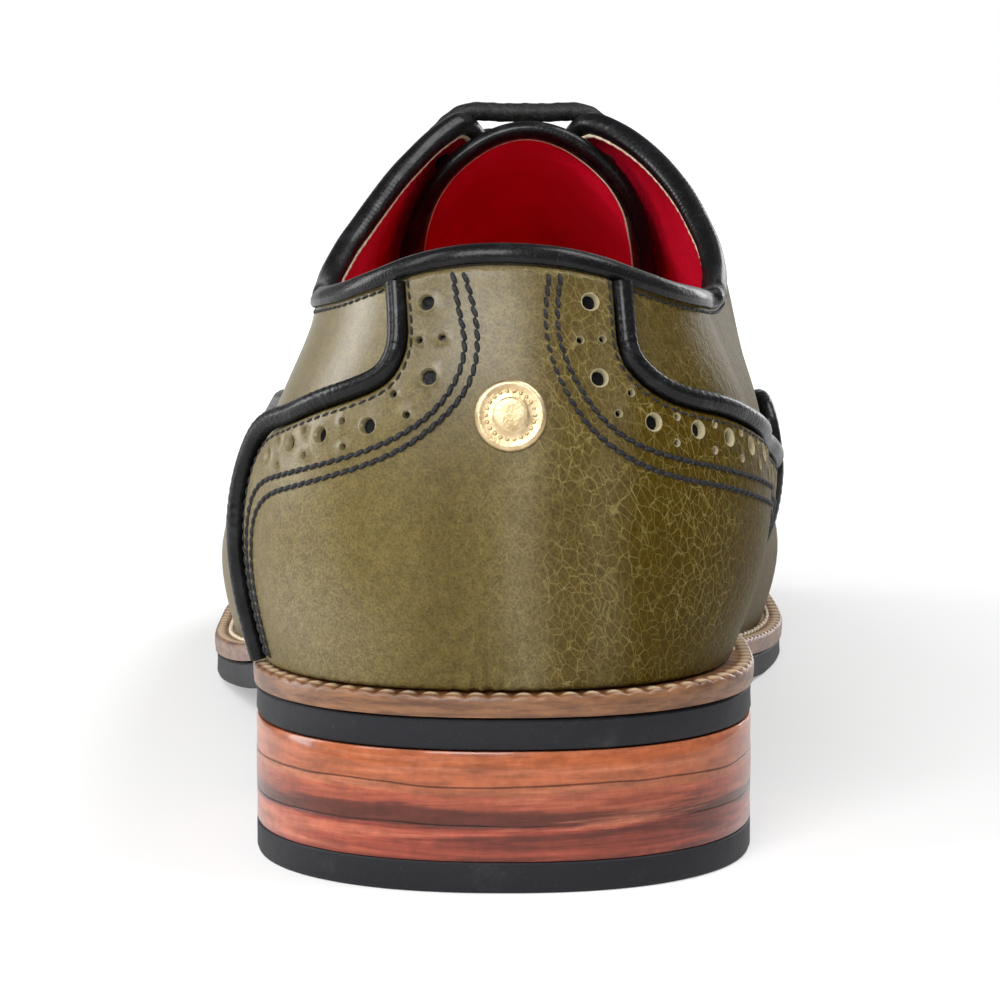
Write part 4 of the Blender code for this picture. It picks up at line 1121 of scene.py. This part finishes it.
def pipingTube(path, normals):
    sizes = pipingSizes

    def ruck(run, turn):
        wave = np.sin(2 * math.pi * run / sizes["ruckPitch"]) * np.sin(run * 0.21) ** 2
        return sizes["ruck"] * wave + 0 * turn

    return sweep(tubeRings(path, normals, sizes["radius"], sizes["sides"], ruck))


def makePiping():
    sizes = pipingSizes
    names = {"Out": "counter_piping_lateral", "In": "counter_piping_medial"}
    for side in sideSign:
        line = evenLine(besideLine(counterEdge(side), sizes["beside"]), 0.45)
        line = line[line[:, 0] < aroundOf(side, wingSizes["back"]) - 2.4]
        turned = softStep(line[:, 0], sizes["turnFrom"], sizes["turnTo"]) if side == "Out" else 0.0
        rise = sizes["lift"] + sizes["turnLift"] * turned
        path, normals = onSkin(side, line[:, 0], line[:, 1], rise + np.zeros(len(line)))
        tube = pipingTube(path, normals)
        addPiece("piping_" + side.lower(), *tube, ["piping"], "black_leather", [names[side]])
    paths, normals = [], []
    for side in sideSign:
        line = evenLine(besideLine(wingEdge(side), sizes["beside"]), 0.45)
        line = line[ribLength(side, line[:, 0]) - line[:, 1] > 0.4]
        start = float(aroundOf(side, wingSizes["back"]))
        heights = onSkin(side, line[:, 0], line[:, 1])[0][:, 2]
        lap = 1.0 - softStep(line[:, 0], start, start + sizes["lapReach"])
        rise = lap * np.interp(heights, *np.array(sizes["lap" + side]).T)
        path, normal = onSkin(side, line[:, 0], line[:, 1], sizes["lift"] + rise)
        order = slice(None) if side == "Out" else slice(None, None, -1)
        paths.append(path[order])
        normals.append(normal[order])
    tube = pipingTube(np.concatenate(paths), np.concatenate(normals))
    addPiece("piping_wing", *tube, ["piping"], "black_leather", ["wing_piping"])


# Collar binding with its gathers, and the cream edge inside it

bindingSizes = {
    "front": 165.5, "step": 0.33,
    # outward and upward from the top edge of the wall, from the outer hem over the roll to the inner hem
    "profile": (
        (0.22, -1.6), (0.62, -1.7), (0.90, -1.4), (1.02, -0.7), (0.95, 0.1), (0.62, 0.75),
        (0.0, 1.12), (-1.0, 1.26), (-1.85, 1.08), (-2.35, 0.6), (-2.56, -0.1), (-2.56, -0.9),
        (-2.46, -1.35), (-2.22, -1.4), (-2.22, 0.2), (0.22, 0.2),
    ),
    "shownRows": 13,
    # gathers: side, along, half length, height
    "gathers": (
        ("In", 56.0, 17.0, 0.13), ("Out", 52.0, 15.0, 0.09),
        ("In", 98.0, 9.0, 0.05), ("Out", 98.0, 9.0, 0.05),
    ),
    "gatherPitch": 0.98,
    "creamDrop": 1.65, "creamIn": -2.42, "creamRadius": 0.42, "rowDrop": 2.35, "rowLift": 0.05,
}


def collarPath(step, drop, lift):
    paths, normals, alongs, sides = [], [], [], []
    for side in ("Out", "In"):
        stop = float(aroundOf(side, bindingSizes["front"]))
        around = np.linspace(0.0, stop, 900)
        length = ribLength(side, around)
        point, normal = onSkin(side, around, length - drop, np.full(900, lift))
        along = np.where(around > aroundOf(side, form["heelCentre"]), alongOf(side, around), 0.0)
        order = slice(None, None, -1) if side == "Out" else slice(1, None)
        paths.append(point[order])
        normals.append(normal[order])
        alongs.append(along[order])
        sides.append(np.full(len(point[order]), sideSign[side]))
    path = np.concatenate(paths)
    runs = runLength(path)
    marks = np.linspace(0.0, runs[-1], int(runs[-1] / step))

    normal = unit(readAt(marks, runs, np.concatenate(normals)))
    along, side = (np.interp(marks, runs, np.concatenate(values)) for values in (alongs, sides))
    return readAt(marks, runs, path), normal, along, side, marks


def makeBinding():
    sizes = bindingSizes
    path, normals, along, side, marks = collarPath(sizes["step"], 0.0, 0.0)
    below = collarPath(sizes["step"], 1.5, 0.0)[0]
    below = readAt(np.linspace(0.0, 1.0, len(path)), np.linspace(0.0, 1.0, len(below)), below)
    tangents = unit(np.gradient(path, axis=0))
    upward = path - below
    upward = unit(upward - tangents * (upward * tangents).sum(1, keepdims=True))
    outward = unit(normals - tangents * (normals * tangents).sum(1, keepdims=True))
    outward = unit(outward - upward * (outward * upward).sum(1, keepdims=True))
    gather = np.zeros(len(path))
    for name, spot, half, height in sizes["gathers"]:
        window = np.exp(-((along - spot) / half) ** 4) * (side * sideSign[name] > 0)
        gather += window * height
    wave = gather * np.sin(2 * math.pi * marks / sizes["gatherPitch"])
    rings = []
    for number, (out, up) in enumerate(sizes["profile"]):
        shown = 1.0 if number < sizes["shownRows"] else 0.0
        swell = wave * shown * min(1.0, abs(out + 1.0) / 1.2)
        direction = np.sign(out + 1.0)
        aside = outward * (out + direction * swell)[:, None]
        rings.append(path + aside + upward * (up + 0.6 * wave * shown)[:, None])
    rings = np.stack(rings, 1)
    addPiece("collar_roll", *sweep(rings), ["binding"], "black_leather", ["collar_binding"])
    cream, creamNormal = collarPath(0.7, sizes["creamDrop"], sizes["creamIn"])[:2]

    def dash(run, turn):
        return 0.07 * np.sin(2 * math.pi * run / 2.1) + 0 * turn

    tube = sweep(tubeRings(cream, creamNormal, sizes["creamRadius"], 8, dash))
    addPiece("collar_cream_edge", *tube, ["creamThread"], "black_leather")
    # a row of stitches just under the roll
    row = stitchRow(*collarPath(0.5, sizes["rowDrop"], sizes["rowLift"])[:2], edgeStitch)
    addPiece("collar_stitches", *row, ["blackThread"], "black_leather")


# Tongue: red beneath, olive above, black binding round it

tongueSizes = {
    "thick": 2.2, "drop": 3.5, "rows": 70, "across": 61,
    "outline": (
        (113.0, 17.0), (113.4, 18.6), (114.0, 20.0), (116.0, 22.0), (121.0, 23.4),
        (130.0, 24.0), (142.0, 23.6), (155.0, 21.5), (168.0, 18.0), (176.0, 15.0),
    ),
    "roll": 1.3, "borderInset": 1.9, "creamInset": 2.0, "creamRadius": 0.36, "sink": 0.9, "aside": 0.6,
}


def throatHeight(along, x):  # height of the wall's outside across the throat, closed over its gap
    xs, zs = [], []
    for side in sideSign:
        around = float(aroundOf(side, along))
        shares = np.array((0.45, 0.55, 0.65, 0.75, 0.85, 0.93, 1.0))
        point = onSkin(side, np.full(7, around), shares * float(ribLength(side, around)))[0]
        xs += list(point[:, 0])
        zs += list(point[:, 2])
    order = np.argsort(xs)
    xs, zs = np.array(xs)[order], np.array(zs)[order]
    keep = np.concatenate([[True], np.diff(xs) > 0.5])
    return cubicLine(xs[keep], zs[keep], x)


def tonguePoint(along, across, drop):  # across runs in millimetres from the throat's middle
    offset = float(halfWidth("edge", "In", along) - halfWidth("edge", "Out", along))
    middle = 0.5 * offset + tongueSizes["aside"]
    x = middle + np.asarray(across, float)
    z = throatHeight(along, x) - tongueSizes["sink"]
    slope = (throatHeight(along, x + 0.2) - throatHeight(along, x - 0.2)) / 0.4
    size = np.sqrt(1 + slope ** 2)
    return np.stack([x + drop * slope / size, np.full(len(x), along), z - drop / size], 1)


def makeTongue():
    sizes = tongueSizes
    alongs, halves = np.array(sizes["outline"]).T
    start, stop = alongs[0], alongs[-1]
    rows = start + (stop - start) * np.linspace(0.0, 1.0, sizes["rows"]) ** 1.8
    shares = np.linspace(-1.0, 1.0, sizes["across"])
    half = np.maximum(steadyLine(alongs, halves, rows), 0.2)
    upper, lower = (
        np.array([tonguePoint(along, shares * wide, drop) for along, wide in zip(rows, half)])
        for drop in (sizes["drop"], sizes["drop"] + sizes["thick"])
    )
    count = upper.shape[0] * upper.shape[1]
    grid = gridFaces(sizes["rows"], sizes["across"])
    n, m = sizes["rows"], sizes["across"]
    loop = [j for j in range(m)] + [i * m + m - 1 for i in range(1, n)]
    loop += [(n - 1) * m + j for j in range(m - 2, -1, -1)] + [i * m for i in range(n - 2, 0, -1)]
    rim = [[a, b, b + count, a + count] for a, b in zip(loop, loop[1:] + loop[:1])]
    faces = grid + [[corner + count for corner in face] for face in grid] + rim
    finishOf = [0] * len(grid) + [1] * len(grid) + [2] * len(rim)
    points = np.concatenate([upper.reshape(-1, 3), lower.reshape(-1, 3)])
    looks = ["tongue", "lining", "binding"]
    addPiece("tongue_leaf", points, faces, looks, "tongue_leather", ["tongue"], finishOf, weld=0.01)

    def border(inset, drop):
        top = np.linspace(-half[0], half[0], 30)[1:-1]
        left, right = np.stack([-half[::-1], rows[::-1]], 1), np.stack([half, rows], 1)
        flat = np.concatenate([left, np.stack([top, np.full(28, start)], 1), right])
        flat = besideLine(evenLine(flat, 0.5), inset)
        flat = flat[flat[:, 1] < stop]
        path = np.array([tonguePoint(along, np.array([x]), drop)[0] for x, along in flat])
        path = evenLine(path, 0.6)
        return path, np.tile([0.0, -0.35, 1.0], (len(path), 1))

    path, normals = border(0.2, sizes["drop"] + 0.5 * sizes["thick"])
    roll = sweep(tubeRings(path, normals, sizes["roll"], 12))
    addPiece("tongue_roll", *roll, ["binding"], "black_leather")
    outer = border(0.2, sizes["drop"] + sizes["thick"] + 0.25)[0]
    inner = border(sizes["borderInset"], sizes["drop"] + sizes["thick"] + 0.25)[0]
    inner = readAt(np.linspace(0, 1, len(outer)), np.linspace(0, 1, len(inner)), inner)
    rings = np.stack([outer, inner, inner + (0.0, 0.1, 0.6), outer + (0.0, 0.1, 0.6)], 1)
    addPiece("tongue_border", *sweep(rings), ["binding"], "black_leather")
    path, normals = border(sizes["creamInset"], sizes["drop"] + sizes["thick"])
    tube = sweep(tubeRings(path, normals, sizes["creamRadius"], 8))
    addPiece("tongue_cream_edge", *tube, ["creamThread"], "black_leather")


# Lace: straight bars that run down through the eyelets

laceSizes = {
    "bars": (118.5, 129.0, 139.5, 150.0, 160.5), "radius": 1.5, "eyelet": 7.6,
    "braid": 0.07, "braidPitch": 2.6, "bow": 0.35, "rimRadius": 2.05, "rimThick": 0.34,
    # back from the edge of the facing, and height over it
    "route": ((7.6, -3.0), (7.6, -0.6), (7.2, 0.9), (6.0, 1.65), (4.0, 2.0), (2.0, 2.25), (0.4, 2.2)),
}


def makeLace():
    sizes = laceSizes

    def braid(run, turn):
        twist = 2 * math.pi * run / sizes["braidPitch"]
        return sizes["braid"] * (np.sin(twist + 3 * turn) + np.sin(twist - 3 * turn)) * 0.5

    rims = []
    for number, along in enumerate(sizes["bars"], 1):
        route = []
        for side in ("Out", "In"):
            around = float(aroundOf(side, along))
            length = float(ribLength(side, around))
            back, rise = np.array(sizes["route"]).T
            point, normal = onSkin(side, np.full(len(back), around), length - back, rise)
            route.append(point if side == "Out" else point[::-1])
            spot = np.array([length - sizes["eyelet"]])
            centre, facing = onSkin(side, np.array([around]), spot, np.array([0.12]))
            first = unit(np.cross(facing[0], (0.0, 1.0, 0.0)))
            second = np.cross(facing[0], first)
            turns = np.arange(28) * 2 * math.pi / 28
            circle = centre + sizes["rimRadius"] * (
                np.cos(turns)[:, None] * first + np.sin(turns)[:, None] * second)
            ring = np.concatenate([circle[-1:], circle, circle[:1]])
            rings = tubeRings(ring, np.tile(facing[0], (30, 1)), sizes["rimThick"], 8)[1:-1]
            rims.append(sweep(rings, True))
        ends = route[0][-1], route[1][0]
        reach, bow = ends[1] - ends[0], (0.0, 0.0, sizes["bow"])
        span = [ends[0] + share * reach + bow for share in (0.3, 0.5, 0.7)]
        path = evenLine(np.concatenate([route[0], span, route[1]]), 0.4, True)
        tube = sweep(tubeRings(path, np.tile([0.0, 1.0, 0.35], (len(path), 1)), sizes["radius"], 16, braid))
        addPiece("lace_%d" % number, *tube, ["lace"], "lace_cord", ["lace_bar_%d" % number])
    addPiece("eyelets", *joinParts(rims), ["binding"], "black_leather")


# Sole: insole, welt, outsole, heel

soleSizes = {
    "gap": 0.3, "welt": 3.2, "outsole": 4.3, "inset": 0.3, "bevel": 0.9,
    "insole": 2.0, "insoleInset": 2.6, "sockEdge": 1.2,
    "fanSteps": 48, "bodySteps": 90, "across": 25,
    "ridgePitch": 3.2, "ridgeHeight": 0.55, "ridgeStep": 0.3,
    "breast": 68.0, "topLift": 4.2, "topLiftBevel": 0.6,
}
creamStitch = {"pitch": 3.25, "length": 2.5, "radius": 0.36, "slant": 0.12}


def featherHeight(along):
    return levelHeight("feather", along)


def weltTop(along):
    return featherHeight(along) - soleSizes["gap"]


def outsoleTop(along):
    return weltTop(along) - soleSizes["welt"] - soleSizes["gap"]


def outsoleFoot(along):
    return np.maximum(outsoleTop(along) - soleSizes["outsole"], 0.0)


def soleLayer(places, chain, across, front=False):
    # chain: level, inset and height, from the underside's edge up to the top's; both faces are filled
    rows = []
    for level, inset, rise in chain:
        left, right = (outlineAt(level, side, places, inset) for side in ("Out", "In"))
        rows.append((left, right, rise))

    def lift(flat, rise):
        return np.concatenate([flat, np.asarray(rise(flat[:, 1]))[:, None]], 1)

    def fill(left, right, rise):
        shares = np.linspace(0.0, 1.0, across)[1:-1]
        return [lift(left * (1 - share) + right * share, rise) for share in shares]

    ring = [lift(left, rise) for left, right, rise in rows]
    ring += fill(*rows[-1])
    ring += [lift(right, rise) for left, right, rise in rows[::-1]]
    ring += fill(rows[0][1], rows[0][0], rows[0][2])
    rings = np.stack(ring, 1)
    faces = gridFaces(len(places), rings.shape[1], False, True)
    if front:
        faces.append([(len(places) - 1) * rings.shape[1] + j for j in range(rings.shape[1])])
    return rings.reshape(-1, 3), faces


def soleRing(level, inset, step):  # once round the outline, lateral side first, at even steps
    places = allPlaces(220, 500)
    left, right = (outlineAt(level, side, places, inset) for side in ("Out", "In"))
    loop = np.concatenate([left, right[-2:0:-1], left[:1]])
    runs = runLength(loop)
    marks = np.linspace(0.0, runs[-1], int(runs[-1] / step) + 1)[:-1]
    return readAt(marks, runs, loop), marks, runs[-1]


def makeWelt():
    sizes = soleSizes
    outer, marks, total = soleRing("sole", 0.0, sizes["ridgeStep"])
    count = len(outer)
    closed = np.concatenate([outer[-1:], outer, outer[:1]])
    inward = unit(np.gradient(closed, axis=0)[1:-1])
    inward = np.stack([inward[:, 1], -inward[:, 0]], 1)
    centre = outer.mean(0)
    if (inward * (centre - outer)).sum() < 0:
        inward = -inward
    feather = soleRing("feather", 0.0, 0.5)[0]
    near = np.array([np.min(np.hypot(*(feather - point).T)) for point in outer])
    ridges = round(total / sizes["ridgePitch"])
    wave = 0.5 + 0.5 * np.cos(2 * math.pi * ridges * marks / total)
    lobe = np.sqrt(np.clip(wave, 0.0, 1.0))
    shelf = near + 1.2
    # inset, drop below the top, ridge share, ridge tint (the pale lobe tops, partly a painted highlight)
    rows = (
        (0.0, sizes["welt"], 0.0, 0.0), (0.0, sizes["welt"] - 0.35, 0.0, 0.0), (-0.10, 2.2, 0.0, 0.0),
        (-0.12, 1.0, 0.0, 0.0), (0.0, 0.5, 0.3, 0.1), (0.28, 0.12, 0.7, 0.55), (0.70, -0.02, 1.0, 1.0),
        (1.2, 0.0, 1.0, 1.0), (1.75, 0.05, 0.8, 0.7), (2.2, 0.2, 0.3, 0.2),
    )
    points, tint = [], []
    for inset, drop, ridge, pale in rows:
        flat = outer + inward * inset
        height = weltTop(flat[:, 1]) - drop - sizes["ridgeHeight"] * ridge * (1 - lobe)
        points.append(np.concatenate([flat, height[:, None]], 1))
        tint.append(pale * (0.25 + 0.75 * lobe))
    for inset, drop in ((0.62, 0.1), (1.0, -0.6)):
        flat = outer + inward * np.maximum(shelf * inset, 2.3)[:, None]
        points.append(np.concatenate([flat, (weltTop(flat[:, 1]) - drop)[:, None]], 1))
        tint.append(np.zeros(count))
    flat = outer + inward * np.maximum(shelf + 1.0, 3.2)[:, None]
    points.append(np.concatenate([flat, (weltTop(flat[:, 1]) - sizes["welt"])[:, None]], 1))
    tint.append(np.zeros(count))
    rings = np.stack(points, 1)
    faces = gridFaces(count, rings.shape[1], True, True)
    tints = {"ridge": np.stack(tint, 1).ravel()}
    looks = ["welt"]
    addPiece("welt_strip", rings.reshape(-1, 3), faces, looks, "welt_leather", ["welt"], tints=tints)
    # cream stitches on the shelf, forward of the heel
    flat = outer + inward * np.minimum(2.75, shelf - 1.9)[:, None]
    path = np.concatenate([flat, (weltTop(flat[:, 1]) - 0.05)[:, None]], 1)
    forward = np.flatnonzero(flat[:, 1] > 40.0)
    path = path[forward[0]:forward[-1] + 1]
    up = np.tile([0.0, 0.0, 1.0], (len(path), 1))
    addPiece("welt_stitches", *stitchRow(path, up, creamStitch), ["creamThread"], "welt_leather")


def addLayer(name, layer, finish, slot, stands):
    addPiece(name, *layer, [finish], slot, stands, weld=0.02, sharp=35.0)


def makeSole():
    sizes = soleSizes
    places = allPlaces(sizes["fanSteps"], sizes["bodySteps"])
    inset, bevel = sizes["inset"], sizes["bevel"]

    def over(rise, extra):
        return lambda along: rise(along) + extra

    edgeChain = (
        ("sole", inset + bevel, outsoleFoot),
        ("sole", inset + 0.35 * bevel, over(outsoleFoot, 0.25 * bevel)),
        ("sole", inset, over(outsoleFoot, bevel)), ("sole", inset + 0.08, over(outsoleTop, -1.4)),
        ("sole", inset, over(outsoleTop, -0.35)), ("sole", inset + 0.3, outsoleTop),
    )
    layer = soleLayer(places, edgeChain, sizes["across"])
    addLayer("outsole_rubber", layer, "outsole", "black_rubber", ["outsole"])
    top = over(featherHeight, sizes["insole"])
    sock = (
        ("feather", sizes["insoleInset"] + 3.0, over(featherHeight, -2.0)),
        ("feather", sizes["insoleInset"], over(featherHeight, 0.1)),
        ("feather", sizes["sockEdge"], over(featherHeight, sizes["insole"] - 0.5)),
        ("feather", sizes["sockEdge"] + 0.4, top),
    )
    addLayer("insole_sock", soleLayer(places, sock, sizes["across"]), "sock", "red_leather", ["insole"])


def makeHeel():
    sizes = soleSizes
    breast = float(placeOf(sizes["breast"]))
    places = np.concatenate([np.linspace(0.0, 1.0, 61)[:-1], np.linspace(1.0, breast, 24)])

    def level(height):
        return lambda along: np.full(np.shape(along), float(height))

    def stackTop(along):
        return outsoleFoot(along) - sizes["gap"] * 0.3

    inset, bevel, lift = sizes["inset"], sizes["topLiftBevel"], sizes["topLift"]
    worn = (
        ("sole", inset + bevel, level(0.0)), ("sole", inset + 0.3 * bevel, level(0.22 * bevel)),
        ("sole", inset, level(bevel)), ("sole", inset, level(lift - 0.2)),
        ("sole", inset + 0.15, level(lift)),
    )
    layer = soleLayer(places, worn, sizes["across"], True)
    addLayer("top_lift_rubber", layer, "topLift", "black_rubber", ["top_lift"])
    foot = lift + 0.1
    chain = [("sole", inset + 0.2, level(foot)), ("sole", inset + 0.02, level(foot + 0.3))]
    for share in (0.2, 0.4, 0.6, 0.8):
        def rise(along, share=share):
            return foot + share * (stackTop(along) - foot)
        chain.append(("sole", inset + 0.06 * math.sin(share * 9.0), rise))
    chain += [("sole", inset + 0.02, lambda along: stackTop(along) - 0.3), ("sole", inset + 0.2, stackTop)]
    lifts = ["heel_lift_1", "heel_lift_2", "heel_lift_3"]
    addLayer("heel_stack", soleLayer(places, chain, sizes["across"], True), "stack", "stack_leather", lifts)


# Back stud: a plain turned disc with a ring of beads

studSizes = {
    "around": 1.4, "up": 36.5, "lift": 1.55, "sides": 72,
    "turn": (
        (4.2, -0.35), (4.72, -0.1), (4.8, 0.2), (4.72, 0.48), (4.45, 0.72), (4.15, 0.80), (3.95, 0.72),
        (2.5, 0.84), (2.36, 0.88), (2.26, 0.98), (2.12, 1.02), (1.2, 1.04), (0.5, 1.05), (0.05, 1.05),
    ),
    "beads": 22, "beadRing": 3.2, "beadRadius": 0.27, "beadRise": 0.8,
}


def makeStud():
    sizes = studSizes
    spot = [np.array([sizes[key]]) for key in ("around", "up", "lift")]
    base, normal = (found[0] for found in onSkin("In", *spot))
    across = unit(np.cross(normal, (0.0, 0.0, 1.0)))
    upward = np.cross(across, normal)
    turns = np.arange(sizes["sides"]) * 2 * math.pi / sizes["sides"]
    circle = np.cos(turns)[:, None] * across + np.sin(turns)[:, None] * upward
    parts = [sweep([base + normal * rise + radius * circle for radius, rise in sizes["turn"]])]
    for k in range(sizes["beads"]):
        spin = 2 * math.pi * k / sizes["beads"]
        centre = base + normal * sizes["beadRise"]
        centre = centre + sizes["beadRing"] * (math.cos(spin) * across + math.sin(spin) * upward)
        swings = np.linspace(-1.4, 1.4, 7)
        ways = [math.cos(swing) * circle[::9] + math.sin(swing) * normal for swing in swings]
        parts.append(sweep([centre + sizes["beadRadius"] * way for way in ways]))
    addPiece("stud_disc", *joinParts(parts), ["brass"], "stud_brass", ["back_stud"], sharp=70.0)


makers = (
    makeUpper, makeCounter, makeWing, makePiping, makeBinding, makeTongue,
    makeLace, makeWelt, makeSole, makeHeel, makeStud,
)
for make in makers:
    make()
    print(make.__name__, "done")


# Floor, light and camera

stageLook = {
    # painted light: the floor glows, less near a spot beside the shoe, which paints a shadow there, and
    # more with distance from it
    "floor": (0.50, 0.50, 0.50), "floorSize": 6.0,
    "floorGlow": (0.34, 0.97), "glowFrom": 0.12, "glowTo": 0.70, "paintedShadowSpot": (0.16, 0.05, 0.0),
    # how bright the surroundings are straight past the toe and elsewhere, and where one fades to the other
    "behind": 1.0, "around": 0.16, "fade": (0.86, 0.95),
    # name: place, aim, width, height, power
    "lights": {
        "front": ((-0.22, -0.98, 0.66), (0.0, -0.10, 0.05), 0.5, 0.4, 10.2),
        "left": ((-0.75, -0.50, 0.70), (0.0, -0.06, 0.05), 0.3, 0.6, 4.4),
        "leftSide": ((-0.95, 0.16, 0.34), (0.0, -0.08, 0.05), 0.35, 0.5, 5.5),
        "right": ((0.55, 0.85, 0.30), (0.0, -0.02, 0.05), 0.25, 0.4, 2.2),
        "top": ((0.62, -0.10, 1.0), (0.0, 0.0, 0.0), 0.6, 0.6, 9.5),
    },
}
cameraLook = {
    "place": (7.4, -531.4, 113.7), "turn": 0.8, "tip": 6.53,
    "pixels": 3016.0, "window": 742.0, "sensor": 36.0,
}


def makeStage():
    look = stageLook
    size = look["floorSize"]
    mesh = bpy.data.meshes.new("floor")
    corners = [(-size, -size, 0), (size, -size, 0), (size, size, 0), (-size, size, 0)]
    mesh.from_pydata(corners, [], [(0, 1, 2, 3)])
    floor = bpy.data.objects.new("floor", mesh)
    bpy.context.scene.collection.objects.link(floor)
    made = Finish("floor_pale", look["floor"], 0.75, {"Specular IOR Level": 0.1, "Emission Strength": 1.0})
    # painted light and shadow: the glow grows with distance from the spot beside the shoe
    values = {0: made.place, 1: look["paintedShadowSpot"]}
    away = made.node("ShaderNodeVectorMath", {"operation": "DISTANCE"}, values, "Value")
    made.set("Emission Color", made.grey(away.ramp(look["glowFrom"], look["glowTo"], *look["floorGlow"])))
    mesh.materials.append(made.material)
    world = bpy.data.worlds.new("studio")
    world.use_nodes = True
    sky = Graph(world.node_tree)
    sky.tree.nodes.remove(sky.tree.nodes["Background"])
    white = (1.0, 1.0, 1.0, 1.0)
    around, behind = (
        sky.node("ShaderNodeBackground", {}, {"Color": white, "Strength": look[name]})
        for name in ("around", "behind")
    )
    aim = sky.node("ShaderNodeTexCoord", {}, {}, "Generated")
    forward = sky.node("ShaderNodeSeparateXYZ", {}, {0: aim}, "Y")
    mixed = sky.node("ShaderNodeMixShader", {}, {0: forward.ramp(*look["fade"]), 1: around, 2: behind})
    sky.tree.links.new(mixed.socket, sky.tree.nodes["World Output"].inputs["Surface"])
    bpy.context.scene.world = world
    for name, (place, aim, width, height, power) in look["lights"].items():
        data = bpy.data.lights.new("light_" + name, "AREA")
        data.shape = "RECTANGLE"
        data.size, data.size_y, data.energy = width, height, power
        light = bpy.data.objects.new("light_" + name, data)
        light.location = place
        light.rotation_euler = (Vector(aim) - Vector(place)).to_track_quat("-Z", "Y").to_euler()
        bpy.context.scene.collection.objects.link(light)


def makeCamera():
    look = cameraLook
    data = bpy.data.cameras.new("camera")
    data.sensor_width = look["sensor"]
    data.lens = look["sensor"] * look["pixels"] / look["window"]
    camera = bpy.data.objects.new("camera", data)
    camera.location = (np.array(look["place"]) + shift) * mm
    turn, tip = math.radians(look["turn"]), math.radians(look["tip"])
    aim = Vector((-math.sin(turn) * math.cos(tip), math.cos(turn) * math.cos(tip), -math.sin(tip)))
    camera.rotation_euler = aim.to_track_quat("-Z", "Y").to_euler()
    bpy.context.scene.collection.objects.link(camera)
    bpy.context.scene.camera = camera


makeStage()
makeCamera()
bpy.context.scene.view_settings.view_transform = "Standard"
print("stage ready")
